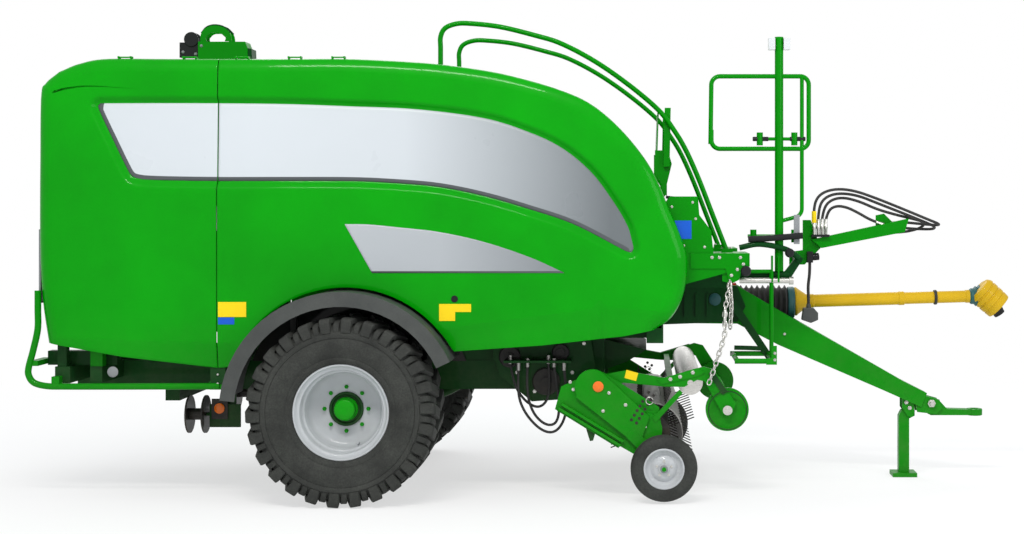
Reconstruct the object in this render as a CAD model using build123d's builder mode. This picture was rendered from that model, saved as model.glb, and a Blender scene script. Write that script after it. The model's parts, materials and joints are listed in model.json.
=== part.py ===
from build123d import *
import math
import os

os.makedirs("parts", exist_ok=True)

# ---------------------------------------------------------------- main sizes
# Every x below is measured from the wheel axle; AXLE_X moves it to the frame.
YOKE_FRONT = 4640.0         # front end of the drive shaft's yoke
GUARD_REAR = -2134.0        # rear end of the rear guard rails
AXLE_X = -(YOKE_FRONT + GUARD_REAR) / 2
TYRE_R = 621.0
TYRE_W = 560.0
OVERALL_HALF = 1400.0       # half of the width over the tyres
HUB_Z = TYRE_R
TYRE_Y = OVERALL_HALF - TYRE_W / 2
BODY_HALF = 1200.0          # outer face of the side doors
ROOF_HALF = 1110.0
RIM_DEPTH = 85.0            # depth of the doors' rounded rim
SHEET = 10.0                # thickness of the body's skins
GAP = 6.0                   # clearance between pieces that move apart
PIN_GAP = 0.08              # running clearance of a pin in its bore
SEAM_X = -847.0             # seam between the front and rear doors
ARCH_R = 807.0              # wheel arch in the front doors
FENDER_R = 787.0
RAIL_Y = 560.0              # chassis rails, centre
RAIL_Z0 = 695.0
RAIL_Z1 = 895.0
TOP_Z = 2942.0
GUIDE_POST_X0 = -1722.0     # the posts that carry the wrapping ring's guide rollers
GUIDE_POST_X1 = -1642.0

# Outline of the body's top edge, rear to front (x, z)
TOP_CURVE = [
    (-2032, 2696), (-1999, 2783), (-1912, 2857), (-1779, 2910), (-1600, TOP_Z),
    (SEAM_X, TOP_Z), (17, TOP_Z), (463, 2920), (729, 2893), (982, 2854),
    (1205, 2801), (1398, 2742), (1577, 2668), (1725, 2564), (1873, 2415),
    (2006, 2238), (2096, 2059),
]
NOSE_CURVE = [
    (2137, 1949), (2196, 1819), (2243, 1688), (2260, 1609),
    (2256, 1493), (2223, 1343), (2148, 1218), (2039, 1143),
]
REAR_CURVE = [(-1979, 1060), (-2018, 1340), (-2036, 1698), (-2036, 2267)]


# ---------------------------------------------------------------- helpers
def side(y):
    """Upright plane at y, seen from the right: local x is forward, local y is up."""
    return Plane(origin=(AXLE_X, y, 0), x_dir=(1, 0, 0), z_dir=(0, -1, 0))


def across(x):
    """Upright plane across the machine at x: local x is to the left, local y is up."""
    return Plane(origin=(AXLE_X + x, 0, 0), x_dir=(0, 1, 0), z_dir=(1, 0, 0))


def block(x0, x1, y0, y1, z0, z1, mode=Mode.ADD):
    """A box between the given faces, x measured from the axle."""
    with Locations((AXLE_X + (x0 + x1) / 2, (y0 + y1) / 2, (z0 + z1) / 2)):
        Box(abs(x1 - x0), abs(y1 - y0), abs(z1 - z0), mode=mode)


def plate(points, y0, y1, mode=Mode.ADD):
    """A flat plate with the side outline given as (x, z), between y0 and y1."""
    low = min(y0, y1)
    with BuildSketch(side(low)) as outline:
        Polygon(*points, align=None)
    extrude(outline.sketch, amount=-abs(y1 - y0), mode=mode)


def rod_y(x, z, radius, y0, y1, mode=Mode.ADD):
    """A round bar across the machine."""
    with Locations(Location((AXLE_X + x, (y0 + y1) / 2, z), (90, 0, 0))):
        Cylinder(radius, abs(y1 - y0), mode=mode)


def rod_x(y, z, radius, x0, x1, mode=Mode.ADD):
    """A round bar along the machine."""
    with Locations(Location((AXLE_X + (x0 + x1) / 2, y, z), (0, 90, 0))):
        Cylinder(radius, abs(x1 - x0), mode=mode)


def rod_z(x, y, radius, z0, z1, mode=Mode.ADD):
    """An upright round bar."""
    with Locations((AXLE_X + x, y, (z0 + z1) / 2)):
        Cylinder(radius, abs(z1 - z0), mode=mode)


def tube(points, radius, bends, mode=Mode.ADD):
    """A bent bar through points (x, y, z), with a bend radius at each inner point."""
    path = [(AXLE_X + p[0], p[1], p[2]) for p in points]
    with BuildLine() as route:
        FilletPolyline(*path, radius=bends)
    line = route.line
    with BuildSketch(Plane(origin=line @ 0, z_dir=line % 0)) as section:
        Circle(radius)
    sweep(section.sketch, path=line, mode=mode)


def inset(points, depth):
    """Points moved to the right of their path by depth, along the mean normal."""
    out = []
    last = len(points) - 1
    for i, (px, pz) in enumerate(points):
        ax, az = points[max(i - 1, 0)]
        bx, bz = points[min(i + 1, last)]
        size = math.hypot(bx - ax, bz - az)
        out.append((px + (bz - az) / size * depth, pz - (bx - ax) / size * depth))
    return out


def arc_points(cx, cz, radius, start, end, count):
    """Points on an arc about (cx, cz), angles in degrees."""
    step = (end - start) / (count - 1)
    return [
        (cx + radius * math.cos(math.radians(start + i * step)),
         cz + radius * math.sin(math.radians(start + i * step)))
        for i in range(count)
    ]


# ---------------------------------------------------------------- running gear
STUB_R = 45.0
HUB_R = 115.0
RIM_R = 292.0
AXLE_HALF = 820.0

with BuildPart() as axle:
    block(-75, 75, -AXLE_HALF, AXLE_HALF, HUB_Z - 76, RAIL_Z0)
    rod_y(0, HUB_Z, STUB_R, -TYRE_Y - 60, TYRE_Y + 60)
axle.part.label = "axle"
export_step(axle.part, "parts/axle.step")

RAIL_REAR = -1960.0
RAIL_FRONT = 1700.0
UPPER_Z0 = 1050.0
UPPER_Z1 = 1150.0
WALL_X = 2090.0             # rear face of the front wall
PIVOT_X = 1480.0            # pick-up pivot
PIVOT_Z = 640.0
PIVOT_R = 40.0
with BuildPart() as chassis:
    for sy in (-1, 1):
        block(RAIL_REAR, RAIL_FRONT, sy * (RAIL_Y - 45), sy * (RAIL_Y + 45), RAIL_Z0, RAIL_Z1)
        block(-1950, -1850, sy * (RAIL_Y + 45), sy * 1090, 785, RAIL_Z1)
        block(GUIDE_POST_X0, GUIDE_POST_X1, sy * (RAIL_Y + 45), sy * 1070, 785, RAIL_Z1)
        block(-2043, -1575, sy * 870, sy * 960, RAIL_Z1, 990)
        block(-900, -800, sy * (RAIL_Y + 45), sy * 1150, 785, RAIL_Z1)
        block(RAIL_FRONT - 100, RAIL_FRONT, sy * (RAIL_Y - 45), sy * (RAIL_Y + 45), RAIL_Z1, UPPER_Z1)
        block(RAIL_FRONT, WALL_X, sy * (RAIL_Y - 45), sy * (RAIL_Y + 45), UPPER_Z0, UPPER_Z1)
        for y in (RAIL_Y - 45, RAIL_Y + 30):
            plate([(1400, RAIL_Z0), (1560, RAIL_Z0), (1540, 570), (1420, 570)], sy * y, sy * (y + 15))
        rod_y(PIVOT_X, PIVOT_Z, PIVOT_R + PIN_GAP, sy * (RAIL_Y - 60), sy * (RAIL_Y + 60), mode=Mode.SUBTRACT)
    block(880, 980, -(RAIL_Y - 45), RAIL_Y - 45, RAIL_Z0 + 20, RAIL_Z1 - 20)
    block(-1350, -1250, -(RAIL_Y + 45), RAIL_Y + 45, RAIL_Z0 - 80, RAIL_Z0)
    block(WALL_X - 100, WALL_X, -1070, 1070, UPPER_Z0, UPPER_Z1)
chassis.part.label = "chassis"
export_step(chassis.part, "parts/chassis.step")

CHAMBER_X = 740.0
CHAMBER_Z = 1640.0
CHAMBER_R = 680.0
with BuildPart() as chamber:
    rod_y(CHAMBER_X, CHAMBER_Z, CHAMBER_R, -615, 615)
    for sy in (-1, 1):
        plate([(CHAMBER_X - 560, RAIL_Z1), (CHAMBER_X + 560, RAIL_Z1), (CHAMBER_X + 560, 1500),
               (CHAMBER_X - 560, 1500)], sy * (RAIL_Y - 40), sy * (RAIL_Y + 40))
chamber.part.label = "chamber"
export_step(chamber.part, "parts/chamber.step")

POST_Y = 1040.0
POST_TOP = 2080.0
BEAM_FRONT = TOP_CURVE[6][0] - 7    # the roof beams end where the roof starts to slope
with BuildPart() as superstructure:
    for sy in (-1, 1):
        block(-1940, -1880, sy * (POST_Y - 30), sy * (POST_Y + 30), RAIL_Z1, 2700)
        plate([(-1940, 2690), (-1940, 2750), (-1560, TOP_Z - SHEET), (-1560, TOP_Z - SHEET - 60)],
              sy * (POST_Y - 30), sy * (POST_Y + 30))
        block(WALL_X - 100, WALL_X - 40, sy * (POST_Y - 30), sy * (POST_Y + 30), UPPER_Z1, POST_TOP - 60)
        block(-840, -780, sy * (POST_Y - 30), sy * (POST_Y + 30), 1460, TOP_Z - SHEET)
        block(-840, -780, sy * 700, sy * (POST_Y + 30), 1400, 1460)
        block(-840, -780, sy * 700, sy * 760, RAIL_Z1, 1400)
        block(-1560, BEAM_FRONT, sy * (POST_Y - 30), sy * (POST_Y + 30), TOP_Z - SHEET - 60, TOP_Z - SHEET)
        plate([(BEAM_FRONT, TOP_Z - SHEET), (BEAM_FRONT, TOP_Z - SHEET - 60), (WALL_X - 100, POST_TOP - 60),
               (WALL_X - 40, POST_TOP - 60), (WALL_X - 40, POST_TOP - 20)],
              sy * (POST_Y - 30), sy * (POST_Y + 30))
    for x in (-1560, BEAM_FRONT - 60):
        block(x, x + 60, -(POST_Y - 30), POST_Y - 30, TOP_Z - SHEET - 60, TOP_Z - SHEET)
    block(WALL_X - 100, WALL_X - 40, -(POST_Y - 30), POST_Y - 30, POST_TOP - 120, POST_TOP - 60)
superstructure.part.label = "superstructure"
export_step(superstructure.part, "parts/superstructure.step")

with BuildPart() as roof:
    with BuildSketch(side(-ROOF_HALF)):
        Polygon(*TOP_CURVE, *reversed(inset(TOP_CURVE, SHEET)), align=None)
    extrude(amount=-2 * ROOF_HALF)
roof.part.label = "roof"
export_step(roof.part, "parts/roof.step")

# ---------------------------------------------------------------- side doors
# Each door is a shell: a face at BODY_HALF and a rim that curves in to the roof.
RIM_STEPS = ((0.0, RIM_DEPTH), (0.18, RIM_DEPTH * 0.42), (0.5, RIM_DEPTH * 0.12), (1.0, 0.0))
RIM_IN = 1116.0
FRONT_TOP = [p for p in TOP_CURVE if p[0] >= SEAM_X]
FRONT_TOP[0] = (SEAM_X + GAP / 2, TOP_Z)
REAR_TOP = [p for p in TOP_CURVE if p[0] < SEAM_X] + [(SEAM_X - GAP / 2, TOP_Z)]
ARCH_START = math.degrees(math.acos(745 / ARCH_R))
ARCH_POINTS = arc_points(0, HUB_Z, ARCH_R, 29, 159, 12)
FRONT_LOW = [(1837, 1103), (1298, 1042), (760, 1002)] + ARCH_POINTS + [(SEAM_X + GAP / 2, 892)]
REAR_LOW = [(SEAM_X - GAP / 2, 892), (-1483, 968), (-1879, 1042)]


def door_layers(edge, rest, extra):
    """Outlines of a door shell from its face inwards: (distance from the face, points)."""
    layers = []
    for share, depth in RIM_STEPS:
        layers.append((share * (BODY_HALF - RIM_IN), inset(edge, depth + extra) + rest))
    return layers


def door_shell(edge, rest, sign):
    """The loft through the door's outlines, less the same loft one sheet further in."""
    for extra, mode in ((0.0, Mode.ADD), (SHEET, Mode.SUBTRACT)):
        layers = door_layers(edge, rest, extra)
        for (d0, low), (d1, high) in zip(layers, layers[1:]):
            y0 = sign * (BODY_HALF - d0 - (extra if d0 == 0 else 0))
            y1 = sign * (BODY_HALF - d1)
            with BuildSketch(side(y0)) as first:
                Polygon(*low, align=None)
            with BuildSketch(side(y1)) as second:
                Polygon(*high, align=None)
            loft([first.sketch.face(), second.sketch.face()], ruled=True, mode=mode)


HINGE_Y = 1112.0
HINGE_Z = TOP_Z + 12
HINGE_PIN_R = 5.0
FRONT_HINGES = (-700, -350, -60)
REAR_HINGES = (-1480, -1050)
HINGE_LEN = 90.0
HINGE_EAR = 9.0


def hinge_knuckles(places, sign):
    """Sleeves on a door's rim that turn on the roof's hinge pins."""
    for x in places:
        rod_x(sign * HINGE_Y, HINGE_Z, 10, x - 30, x + 30)
        block(x - 30, x + 30, sign * (HINGE_Y + 4), sign * (HINGE_Y + 13), TOP_Z - 18, HINGE_Z)
        rod_x(sign * HINGE_Y, HINGE_Z, HINGE_PIN_R + 0.5, x - 40, x + 40, mode=Mode.SUBTRACT)


with BuildPart() as door_hinges:
    for sy in (-1, 1):
        for x in FRONT_HINGES + REAR_HINGES:
            rod_x(sy * HINGE_Y, HINGE_Z, HINGE_PIN_R, x - HINGE_LEN / 2, x + HINGE_LEN / 2)
            for x0 in (x - HINGE_LEN / 2, x + HINGE_LEN / 2 - HINGE_EAR):
                block(x0, x0 + HINGE_EAR, sy * (HINGE_Y - 45), sy * (HINGE_Y - 8), TOP_Z, HINGE_Z + 7)
                block(x0, x0 + HINGE_EAR, sy * (HINGE_Y - 8), sy * (HINGE_Y + 8), HINGE_Z - 7, HINGE_Z + 7)
door_hinges.part.label = "door_hinges"
export_step(door_hinges.part, "parts/door_hinges.step")

with BuildPart() as front_door_right:
    door_shell(FRONT_TOP + NOSE_CURVE, FRONT_LOW, -1)
    hinge_knuckles(FRONT_HINGES, -1)
front_door_right.part.label = "front_door_right"
export_step(front_door_right.part, "parts/front_door_right.step")

with BuildPart() as front_door_left:
    door_shell(FRONT_TOP + NOSE_CURVE, FRONT_LOW, 1)
    hinge_knuckles(FRONT_HINGES, 1)
front_door_left.part.label = "front_door_left"
export_step(front_door_left.part, "parts/front_door_left.step")

with BuildPart() as rear_door_right:
    door_shell(REAR_CURVE + REAR_TOP, REAR_LOW, -1)
    hinge_knuckles(REAR_HINGES, -1)
rear_door_right.part.label = "rear_door_right"
export_step(rear_door_right.part, "parts/rear_door_right.step")

with BuildPart() as rear_door_left:
    door_shell(REAR_CURVE + REAR_TOP, REAR_LOW, 1)
    hinge_knuckles(REAR_HINGES, 1)
rear_door_left.part.label = "rear_door_left"
export_step(rear_door_left.part, "parts/rear_door_left.step")


# ---------------------------------------------------------------- wheels
LUG_H = 26.0
TYRE_BEAD = RIM_R - 6
HALF_W = TYRE_W / 2
# Half section of the tyre (radius, offset from its middle)
TYRE_SECTION = [
    (TYRE_BEAD, 221), (RIM_R + 23, 227), (RIM_R + 27, 246), (360, 262), (450, HALF_W), (540, HALF_W - 4), (590, HALF_W - 22),
    (TYRE_R - 8, HALF_W - 60), (TYRE_R, HALF_W - 130),
]


def ring(section, cy):
    """A ring about the axle from a half section that is mirrored about its middle."""
    full = section + [(r, -w) for r, w in reversed(section)]
    with BuildSketch(across(0)) as shape:
        Polygon(*[(cy + w, HUB_Z + r) for r, w in full], align=None)
    revolve(shape.sketch, axis=Axis((AXLE_X, 0, HUB_Z), (0, 1, 0)), revolution_arc=360)




with BuildPart() as tyre_right:
    ring(TYRE_SECTION, -TYRE_Y)
    rod_y(0, HUB_Z, TYRE_BEAD, -OVERALL_HALF, -OVERALL_HALF + TYRE_W, mode=Mode.SUBTRACT)
tyre_right.part.label = "tyre_right"
export_step(tyre_right.part, "parts/tyre_right.step")

with BuildPart() as tyre_left:
    ring(TYRE_SECTION, TYRE_Y)
    rod_y(0, HUB_Z, TYRE_BEAD, OVERALL_HALF - TYRE_W, OVERALL_HALF, mode=Mode.SUBTRACT)
tyre_left.part.label = "tyre_left"
export_step(tyre_left.part, "parts/tyre_left.step")

# Rim, disc and hub as one turned section (radius, distance outward from the wheel's middle)
HUB_BORE = STUB_R + PIN_GAP
RIM_SECTION = [
    (TYRE_BEAD, -222), (RIM_R + 22, -228), (RIM_R + 22, -240), (TYRE_BEAD - 8, -240), (TYRE_BEAD - 14, -222),
    (TYRE_BEAD - 14, 100), (210, 40), (HUB_R, 40), (HUB_R, -40), (HUB_BORE, -40), (HUB_BORE, 76),
    (98, 76), (98, 52), (206, 52), (TYRE_BEAD - 14, 116), (TYRE_BEAD - 14, 222), (TYRE_BEAD - 8, 240),
    (RIM_R + 22, 240), (RIM_R + 22, 228), (TYRE_BEAD, 222),
]
STUD_CIRCLE = 142.0
STUD_COUNT = 8
CAP_R = 62.0


def rim_body(sign):
    """One rim with its disc, hub, cap and studs."""
    cy = sign * TYRE_Y
    with BuildSketch(across(0)) as shape:
        Polygon(*[(cy + sign * w, HUB_Z + r) for r, w in RIM_SECTION], align=None)
    revolve(shape.sketch, axis=Axis((AXLE_X, 0, HUB_Z), (0, 1, 0)), revolution_arc=360)
    rod_y(0, HUB_Z, CAP_R, cy + sign * 70, cy + sign * 112)
    for i in range(STUD_COUNT):
        angle = 2 * math.pi * (i + 0.5) / STUD_COUNT
        rod_y(STUD_CIRCLE * math.cos(angle), HUB_Z + STUD_CIRCLE * math.sin(angle), 12,
              cy + sign * 50, cy + sign * 78)


with BuildPart() as rim_right:
    rim_body(-1)
rim_right.part.label = "rim_right"
export_step(rim_right.part, "parts/rim_right.step")

with BuildPart() as rim_left:
    rim_body(1)
rim_left.part.label = "rim_left"
export_step(rim_left.part, "parts/rim_left.step")

FENDER_IN = 690.0
FENDER_SKIN = 12.0
FENDER_START = 25.0
FENDER_END = 174.0
FENDER_Y = 1388.0


def fender_body(sign):
    """A curved channel over the tyre with a deep outer lip and two stays to the chassis."""
    outer = arc_points(0, HUB_Z, FENDER_R, FENDER_START, FENDER_END, 25)
    inner = arc_points(0, HUB_Z, FENDER_R - FENDER_SKIN, FENDER_START, FENDER_END, 25)
    lip = arc_points(0, HUB_Z, FENDER_IN, FENDER_START, FENDER_END, 25)
    plate(outer + inner[::-1], sign * 795, sign * FENDER_Y)
    plate(outer + lip[::-1], sign * (FENDER_Y - 8), sign * FENDER_Y)
    for x in (-420, 420):
        z = HUB_Z + math.sqrt((FENDER_R - FENDER_SKIN / 2) ** 2 - x * x)
        block(x - 20, x + 20, sign * (RAIL_Y + 45), sign * 815, RAIL_Z0 + 60, RAIL_Z0 + 100)
        block(x - 20, x + 20, sign * 775, sign * 815, RAIL_Z0 + 60, z)


with BuildPart() as fender_right:
    fender_body(-1)
fender_right.part.label = "fender_right"
export_step(fender_right.part, "parts/fender_right.step")

with BuildPart() as fender_left:
    fender_body(1)
fender_left.part.label = "fender_left"
export_step(fender_left.part, "parts/fender_left.step")


# ---------------------------------------------------------------- front of the machine
WALL_T = 12.0
WALL_FRONT = WALL_X + WALL_T
PLATFORM_Z = 1647.0

with BuildPart() as front_wall:
    block(WALL_X, WALL_FRONT, -1070, 1070, UPPER_Z0, 2040)
front_wall.part.label = "front_wall"
export_step(front_wall.part, "parts/front_wall.step")

with BuildPart() as platform:
    for sy in (-1, 1):
        block(WALL_FRONT, 2683, sy * 480, sy * 1000, PLATFORM_Z - 12, PLATFORM_Z)
        plate([(WALL_FRONT, PLATFORM_Z - 12), (2683, PLATFORM_Z - 12), (2683, 1559), (WALL_FRONT, 1400)],
              sy * 988, sy * 1000)
        plate([(WALL_FRONT, PLATFORM_Z - 12), (2683, PLATFORM_Z - 12), (2683, 1559), (WALL_FRONT, 1400)],
              sy * 480, sy * 492)
    plate([(2495, 1559), (2603, 1559), (2610, 1470), (2560, 1444), (2500, 1460)], -986, -974)
    block(2495, 2603, -988, -974, 1559, PLATFORM_Z - 12)
    rod_y(2560, 1519, 18, -990, -970, mode=Mode.SUBTRACT)
platform.part.label = "platform"
export_step(platform.part, "parts/platform.step")

with BuildPart() as control_box:
    plate([(WALL_FRONT, PLATFORM_Z), (2441, PLATFORM_Z), (2339, 1760), (2339, 2033), (WALL_FRONT, 2033)], -1000, -640)
control_box.part.label = "control_box"
export_step(control_box.part, "parts/control_box.step")

POST_X = 2920.0
POST_SIDE = -500.0
POST_BASE = 1510.0
HOOP_R = 16.0
with BuildPart() as guard_post:
    rod_z(POST_X, POST_SIDE, 30, POST_BASE, 3150)
    tube([(2440, POST_SIDE, 2400), (2446, POST_SIDE, 2875), (3128, POST_SIDE, 2875), (3128, POST_SIDE, 2367),
          (2446, POST_SIDE, 2367), (2446, POST_SIDE, 2500)], HOOP_R, 60)
    tube([(3080, POST_SIDE, 2866), (3080, POST_SIDE, 1900), (2930, POST_SIDE, 1860)], 14, 60)
    for z, x0, x1 in ((2436, 2745, 3067), (1756, 2700, 3067)):
        rod_x(POST_SIDE, z, 12, x0, x1)
        for x in (x0 + 40, x1 - 40):
            rod_z(x, POST_SIDE, 22, z - 45, z + 45)
guard_post.part.label = "guard_post"
export_step(guard_post.part, "parts/guard_post.step")

with BuildPart() as work_lamps:
    for x0, x1 in ((2845, POST_X - 30), (POST_X + 30, 2995)):
        block(x0, x1, POST_SIDE - 45, POST_SIDE + 45, 3060, 3140)
work_lamps.part.label = "work_lamps"
export_step(work_lamps.part, "parts/work_lamps.step")

LINK_R = 28.0
with BuildPart() as front_bracket:
    rod_x(POST_SIDE, POST_BASE - LINK_R, LINK_R, 2560, 2990)
    block(2560, 2660, POST_SIDE - 12, POST_SIDE + 7, POST_BASE - LINK_R, PLATFORM_Z - 12)
    rod_y(3060, 1590, 24, POST_SIDE - 20, -160)
    plate([(2960, 1460), (3000, 1460), (3090, 1600), (3050, 1625), (2960, 1510)], POST_SIDE - 12, POST_SIDE + 12)
front_bracket.part.label = "front_bracket"
export_step(front_bracket.part, "parts/front_bracket.step")

with BuildPart() as ladder:
    for y0, y1 in ((-900, -640), (-560, -300)):
        rod_x(y0, 915, 18, 2588, 2872)
        rod_x(y1, 915, 18, 2588, 2872)
        rod_y(2606, 915, 18, y0 - 18, y1 + 18)
        rod_y(2854, 915, 18, y0 - 18, y1 + 18)
    rod_y(2854, 915, 16, -640, -560)
    rod_z(2860, POST_SIDE, 8, 915, POST_BASE - 2 * LINK_R - 0.3)
    rod_z(2606, -640, 12, 915, PLATFORM_Z - 12)
    rod_z(2660, -560, 12, 1500, PLATFORM_Z - 12)
    rod_x(-560, 1500, 12, 2648, 2872)
    rod_z(2860, -560, 12, 915, 1512)
ladder.part.label = "ladder"
export_step(ladder.part, "parts/ladder.step")

with BuildPart() as hose_beam:
    plate([(3174, 1726), (3871, 1877), (3842, 1780), (3246, 1665)], -240, -180)
    plate([(3117, 1866), (3174, 1866), (3246, 1665), (3130, 1545), (3020, 1545), (3020, 1635), (3117, 1650)],
          -180, -160)
    rod_y(3060, 1590, 24.5, -190, -150, mode=Mode.SUBTRACT)
hose_beam.part.label = "hose_beam"
export_step(hose_beam.part, "parts/hose_beam.step")

RAIL_TUBE_R = 17.0
TOP_RAIL = [(560, 2914), (560, 3180), (640, 3236), (848, 3232), (1223, 3152), (1633, 2971), (2099, 2617),
            (2259, 2380), (2380, 2110), (2544, PLATFORM_Z + 17)]
with BuildPart() as top_rails:
    for sy in (-1, 1):
        tube([(x, sy * 600, z) for x, z in TOP_RAIL], RAIL_TUBE_R, 60)
        block(2510, 2590, sy * 560, sy * 640, PLATFORM_Z, PLATFORM_Z + 40)
top_rails.part.label = "top_rails"
export_step(top_rails.part, "parts/top_rails.step")

with BuildPart() as cover_bracket:
    plate([(2060, 2340), (2070, 2640), (2078, 2640), (2068, 2340)], -540, 540)
    for sy in (-1, 1):
        plate([(2110, 2240), (2118, 2650), (2160, 2650), (2152, 2240)], sy * 540, sy * 575)
        plate([(2098, 2120), (2134, 2120), (2168, 2260), (2140, 2355), (2050, 2355), (2050, 2200)],
              sy * 500, sy * 540)
        block(2098, 2134, sy * 500, sy * 540, 2040, 2160)
cover_bracket.part.label = "cover_bracket"
export_step(cover_bracket.part, "parts/cover_bracket.step")

with BuildPart() as roof_bracket:
    block(-1183, -833, -380, -220, TOP_Z, 3142)
    for y in (-355, -245):
        tube([(-1165, y, 3130), (-1165, y, 3252), (-965, y, 3252), (-965, y, 3130)], 10, 60)
    block(-1325, -1183, -340, -260, 3021, 3128)
    rod_y(-1240, 3160, 40, -350, -250)
roof_bracket.part.label = "roof_bracket"
export_step(roof_bracket.part, "parts/roof_bracket.step")

# Drawbar: outline from the side and half widths along it
BAR_REAR = 2640.0
BAR_FRONT = 4029.0
with BuildPart() as drawbar:
    plate([(BAR_REAR, 1125), (BAR_REAR, 1397), (3016, 1176), (3857, 695), (BAR_FRONT, 608), (3986, 508),
           (3699, 637), (2930, 975)], -300, 300)
    with BuildSketch(Plane.XY.offset(400)) as plan:
        Polygon(*[(AXLE_X + x, y) for x, y in ((BAR_REAR, -260), (3000, -235), (BAR_FRONT, -75), (BAR_FRONT, 75),
                                               (3000, 235), (BAR_REAR, 260))], align=None)
    extrude(plan.sketch, amount=1100, mode=Mode.INTERSECT)
    block(BAR_REAR - 10, 2985, -200, 200, 800, 1500, mode=Mode.SUBTRACT)
    block(2985, 3095, -140, 140, 1110, 1500, mode=Mode.SUBTRACT)
    for sy in (-1, 1):
        plate([(WALL_FRONT, 1130), (WALL_FRONT, 1397), (BAR_REAR, 1397), (BAR_REAR, 1125)], sy * 200, sy * 260)
        plate([(3940, 570), (4010, 590), (4120, 560), (4140, 500), (4100, 455), (3960, 470)], sy * 50, sy * 70)
    rod_y(4078, 521, 15.3, -90, 90, mode=Mode.SUBTRACT)
drawbar.part.label = "drawbar"
export_step(drawbar.part, "parts/drawbar.step")

EYE_X = 4385.0
EYE_Z = 465.0
with BuildPart() as hitch_eye:
    plate([(4035, 458), (4035, 580), (4120, 555), (4180, 490), (4350, 485), (4350, 445), (4060, 445)], -49.7, 49.7)
    rod_z(EYE_X, 0, 58, EYE_Z - 20, EYE_Z + 20)
    rod_z(EYE_X, 0, 25, EYE_Z - 30, EYE_Z + 30, mode=Mode.SUBTRACT)
    rod_y(4078, 521, 15, -85, 85)
hitch_eye.part.label = "hitch_eye"
export_step(hitch_eye.part, "parts/hitch_eye.step")

STAND_X = 3915.0
STAND_Z = 465.0
STAND_PIN_R = 12.0
with BuildPart() as stand_bracket:
    for sy in (-1, 1):
        plate([(3850, 569.1), (3935, 530.9), (3938, 465), (3925, 435), (3890, 440), (3850, 500)], sy * 50, sy * 62)
        rod_y(STAND_X, STAND_Z, STAND_PIN_R + PIN_GAP, sy * 45, sy * 65, mode=Mode.SUBTRACT)
stand_bracket.part.label = "stand_bracket"
export_step(stand_bracket.part, "parts/stand_bracket.step")

with BuildPart() as stand_leg:
    plate([(3830, 30), (3905, 30), (3905, 420), (3945, 440), (3945, 480), (3900, 490), (3850, 480), (3830, 440)], -38, 38)
    block(3780, 3955, -90, 90, 0, 30)
    rod_y(STAND_X, STAND_Z, STAND_PIN_R, -60, 60)
stand_leg.part.label = "stand_leg"
export_step(stand_leg.part, "parts/stand_leg.step")

with BuildPart() as gearbox:
    block(2300, BAR_REAR, -150, 150, 1130, 1410)
    rod_x(0, 1262, 60, BAR_REAR, 2661)
    for sy in (-1, 1):
        block(2350, 2400, sy * 150, sy * 200, 1150, 1390)
        block(2560, 2610, sy * 150, sy * 200, 1150, 1390)
gearbox.part.label = "gearbox"
export_step(gearbox.part, "parts/gearbox.step")

# Drive shaft, slightly nose up
SHAFT_REAR = (3077.0, 1266.0)
SHAFT_FRONT = (4640.0, 1316.0)
SHAFT_TILT = math.degrees(math.atan2(SHAFT_FRONT[1] - SHAFT_REAR[1], SHAFT_FRONT[0] - SHAFT_REAR[0]))


def shaft_point(x):
    """Height of the drive shaft's axis at x."""
    share = (x - SHAFT_REAR[0]) / (SHAFT_FRONT[0] - SHAFT_REAR[0])
    return SHAFT_REAR[1] + share * (SHAFT_FRONT[1] - SHAFT_REAR[1])


def shaft_section(stations):
    """A turned piece on the shaft's axis from (x, radius) stations closed on the axis."""
    with BuildSketch(Plane(origin=(AXLE_X + SHAFT_REAR[0], 0, SHAFT_REAR[1]), z_dir=(0, -1, 0),
                           x_dir=(math.cos(math.radians(SHAFT_TILT)), 0, math.sin(math.radians(SHAFT_TILT))))) as half:
        Polygon(*[(x - SHAFT_REAR[0], r) for x, r in stations], align=None)
    axis = Axis((AXLE_X + SHAFT_REAR[0], 0, SHAFT_REAR[1]),
                (math.cos(math.radians(SHAFT_TILT)), 0, math.sin(math.radians(SHAFT_TILT))))
    revolve(half.sketch, axis=axis, revolution_arc=360)


with BuildPart() as bellows:
    rod_x(0, 1262, 128, 2661, 3020)
    rod_x(0, 1264, 110, 3020, 3070)
bellows.part.label = "bellows"
export_step(bellows.part, "parts/bellows.step")

SHAFT_BORE = 30.0
with BuildPart() as shaft_guard:
    shaft_section([(3080, SHAFT_BORE + PIN_GAP), (3080, 90), (3110, 90), (3130, 47), (4341, 47), (4341, 56), (4458, 62),
                   (4520, 120), (4526, 120), (4470, 52), (4458, SHAFT_BORE + PIN_GAP)])
    rod_x(0, 1262, 108, 3070, 3084)
    rod_x(0, 1266, SHAFT_BORE + GAP + 2, 3060, 3090, mode=Mode.SUBTRACT)
shaft_guard.part.label = "shaft_guard"
export_step(shaft_guard.part, "parts/shaft_guard.step")

with BuildPart() as shaft_yoke:
    shaft_section([(3090, 0), (3090, SHAFT_BORE), (4480, SHAFT_BORE), (4500, 48), (4570, 52), (4638.5, 44), (4638.5, 0)])
shaft_yoke.part.label = "shaft_yoke"
export_step(shaft_yoke.part, "parts/shaft_yoke.step")


# ---------------------------------------------------------------- feeder and pick-up
with BuildPart() as feeder:
    plate([(933, 940), (933, 1040), (1519, 1077), (1990, 960), (1860, 880), (1436, 720)], -(RAIL_Y - 45), RAIL_Y - 45)
    for sy in (-1, 1):
        plate([(933, 900), (933, 1040), (1519, 1077), (1595, 1060), (1595, 900), (1500, 760), (1380, 700)],
              sy * (RAIL_Y + 45), sy * 690)
    rod_y(CHAMBER_X, CHAMBER_Z, CHAMBER_R + 0.3, -700, 700, mode=Mode.SUBTRACT)
feeder.part.label = "feeder"
export_step(feeder.part, "parts/feeder.step")

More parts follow.
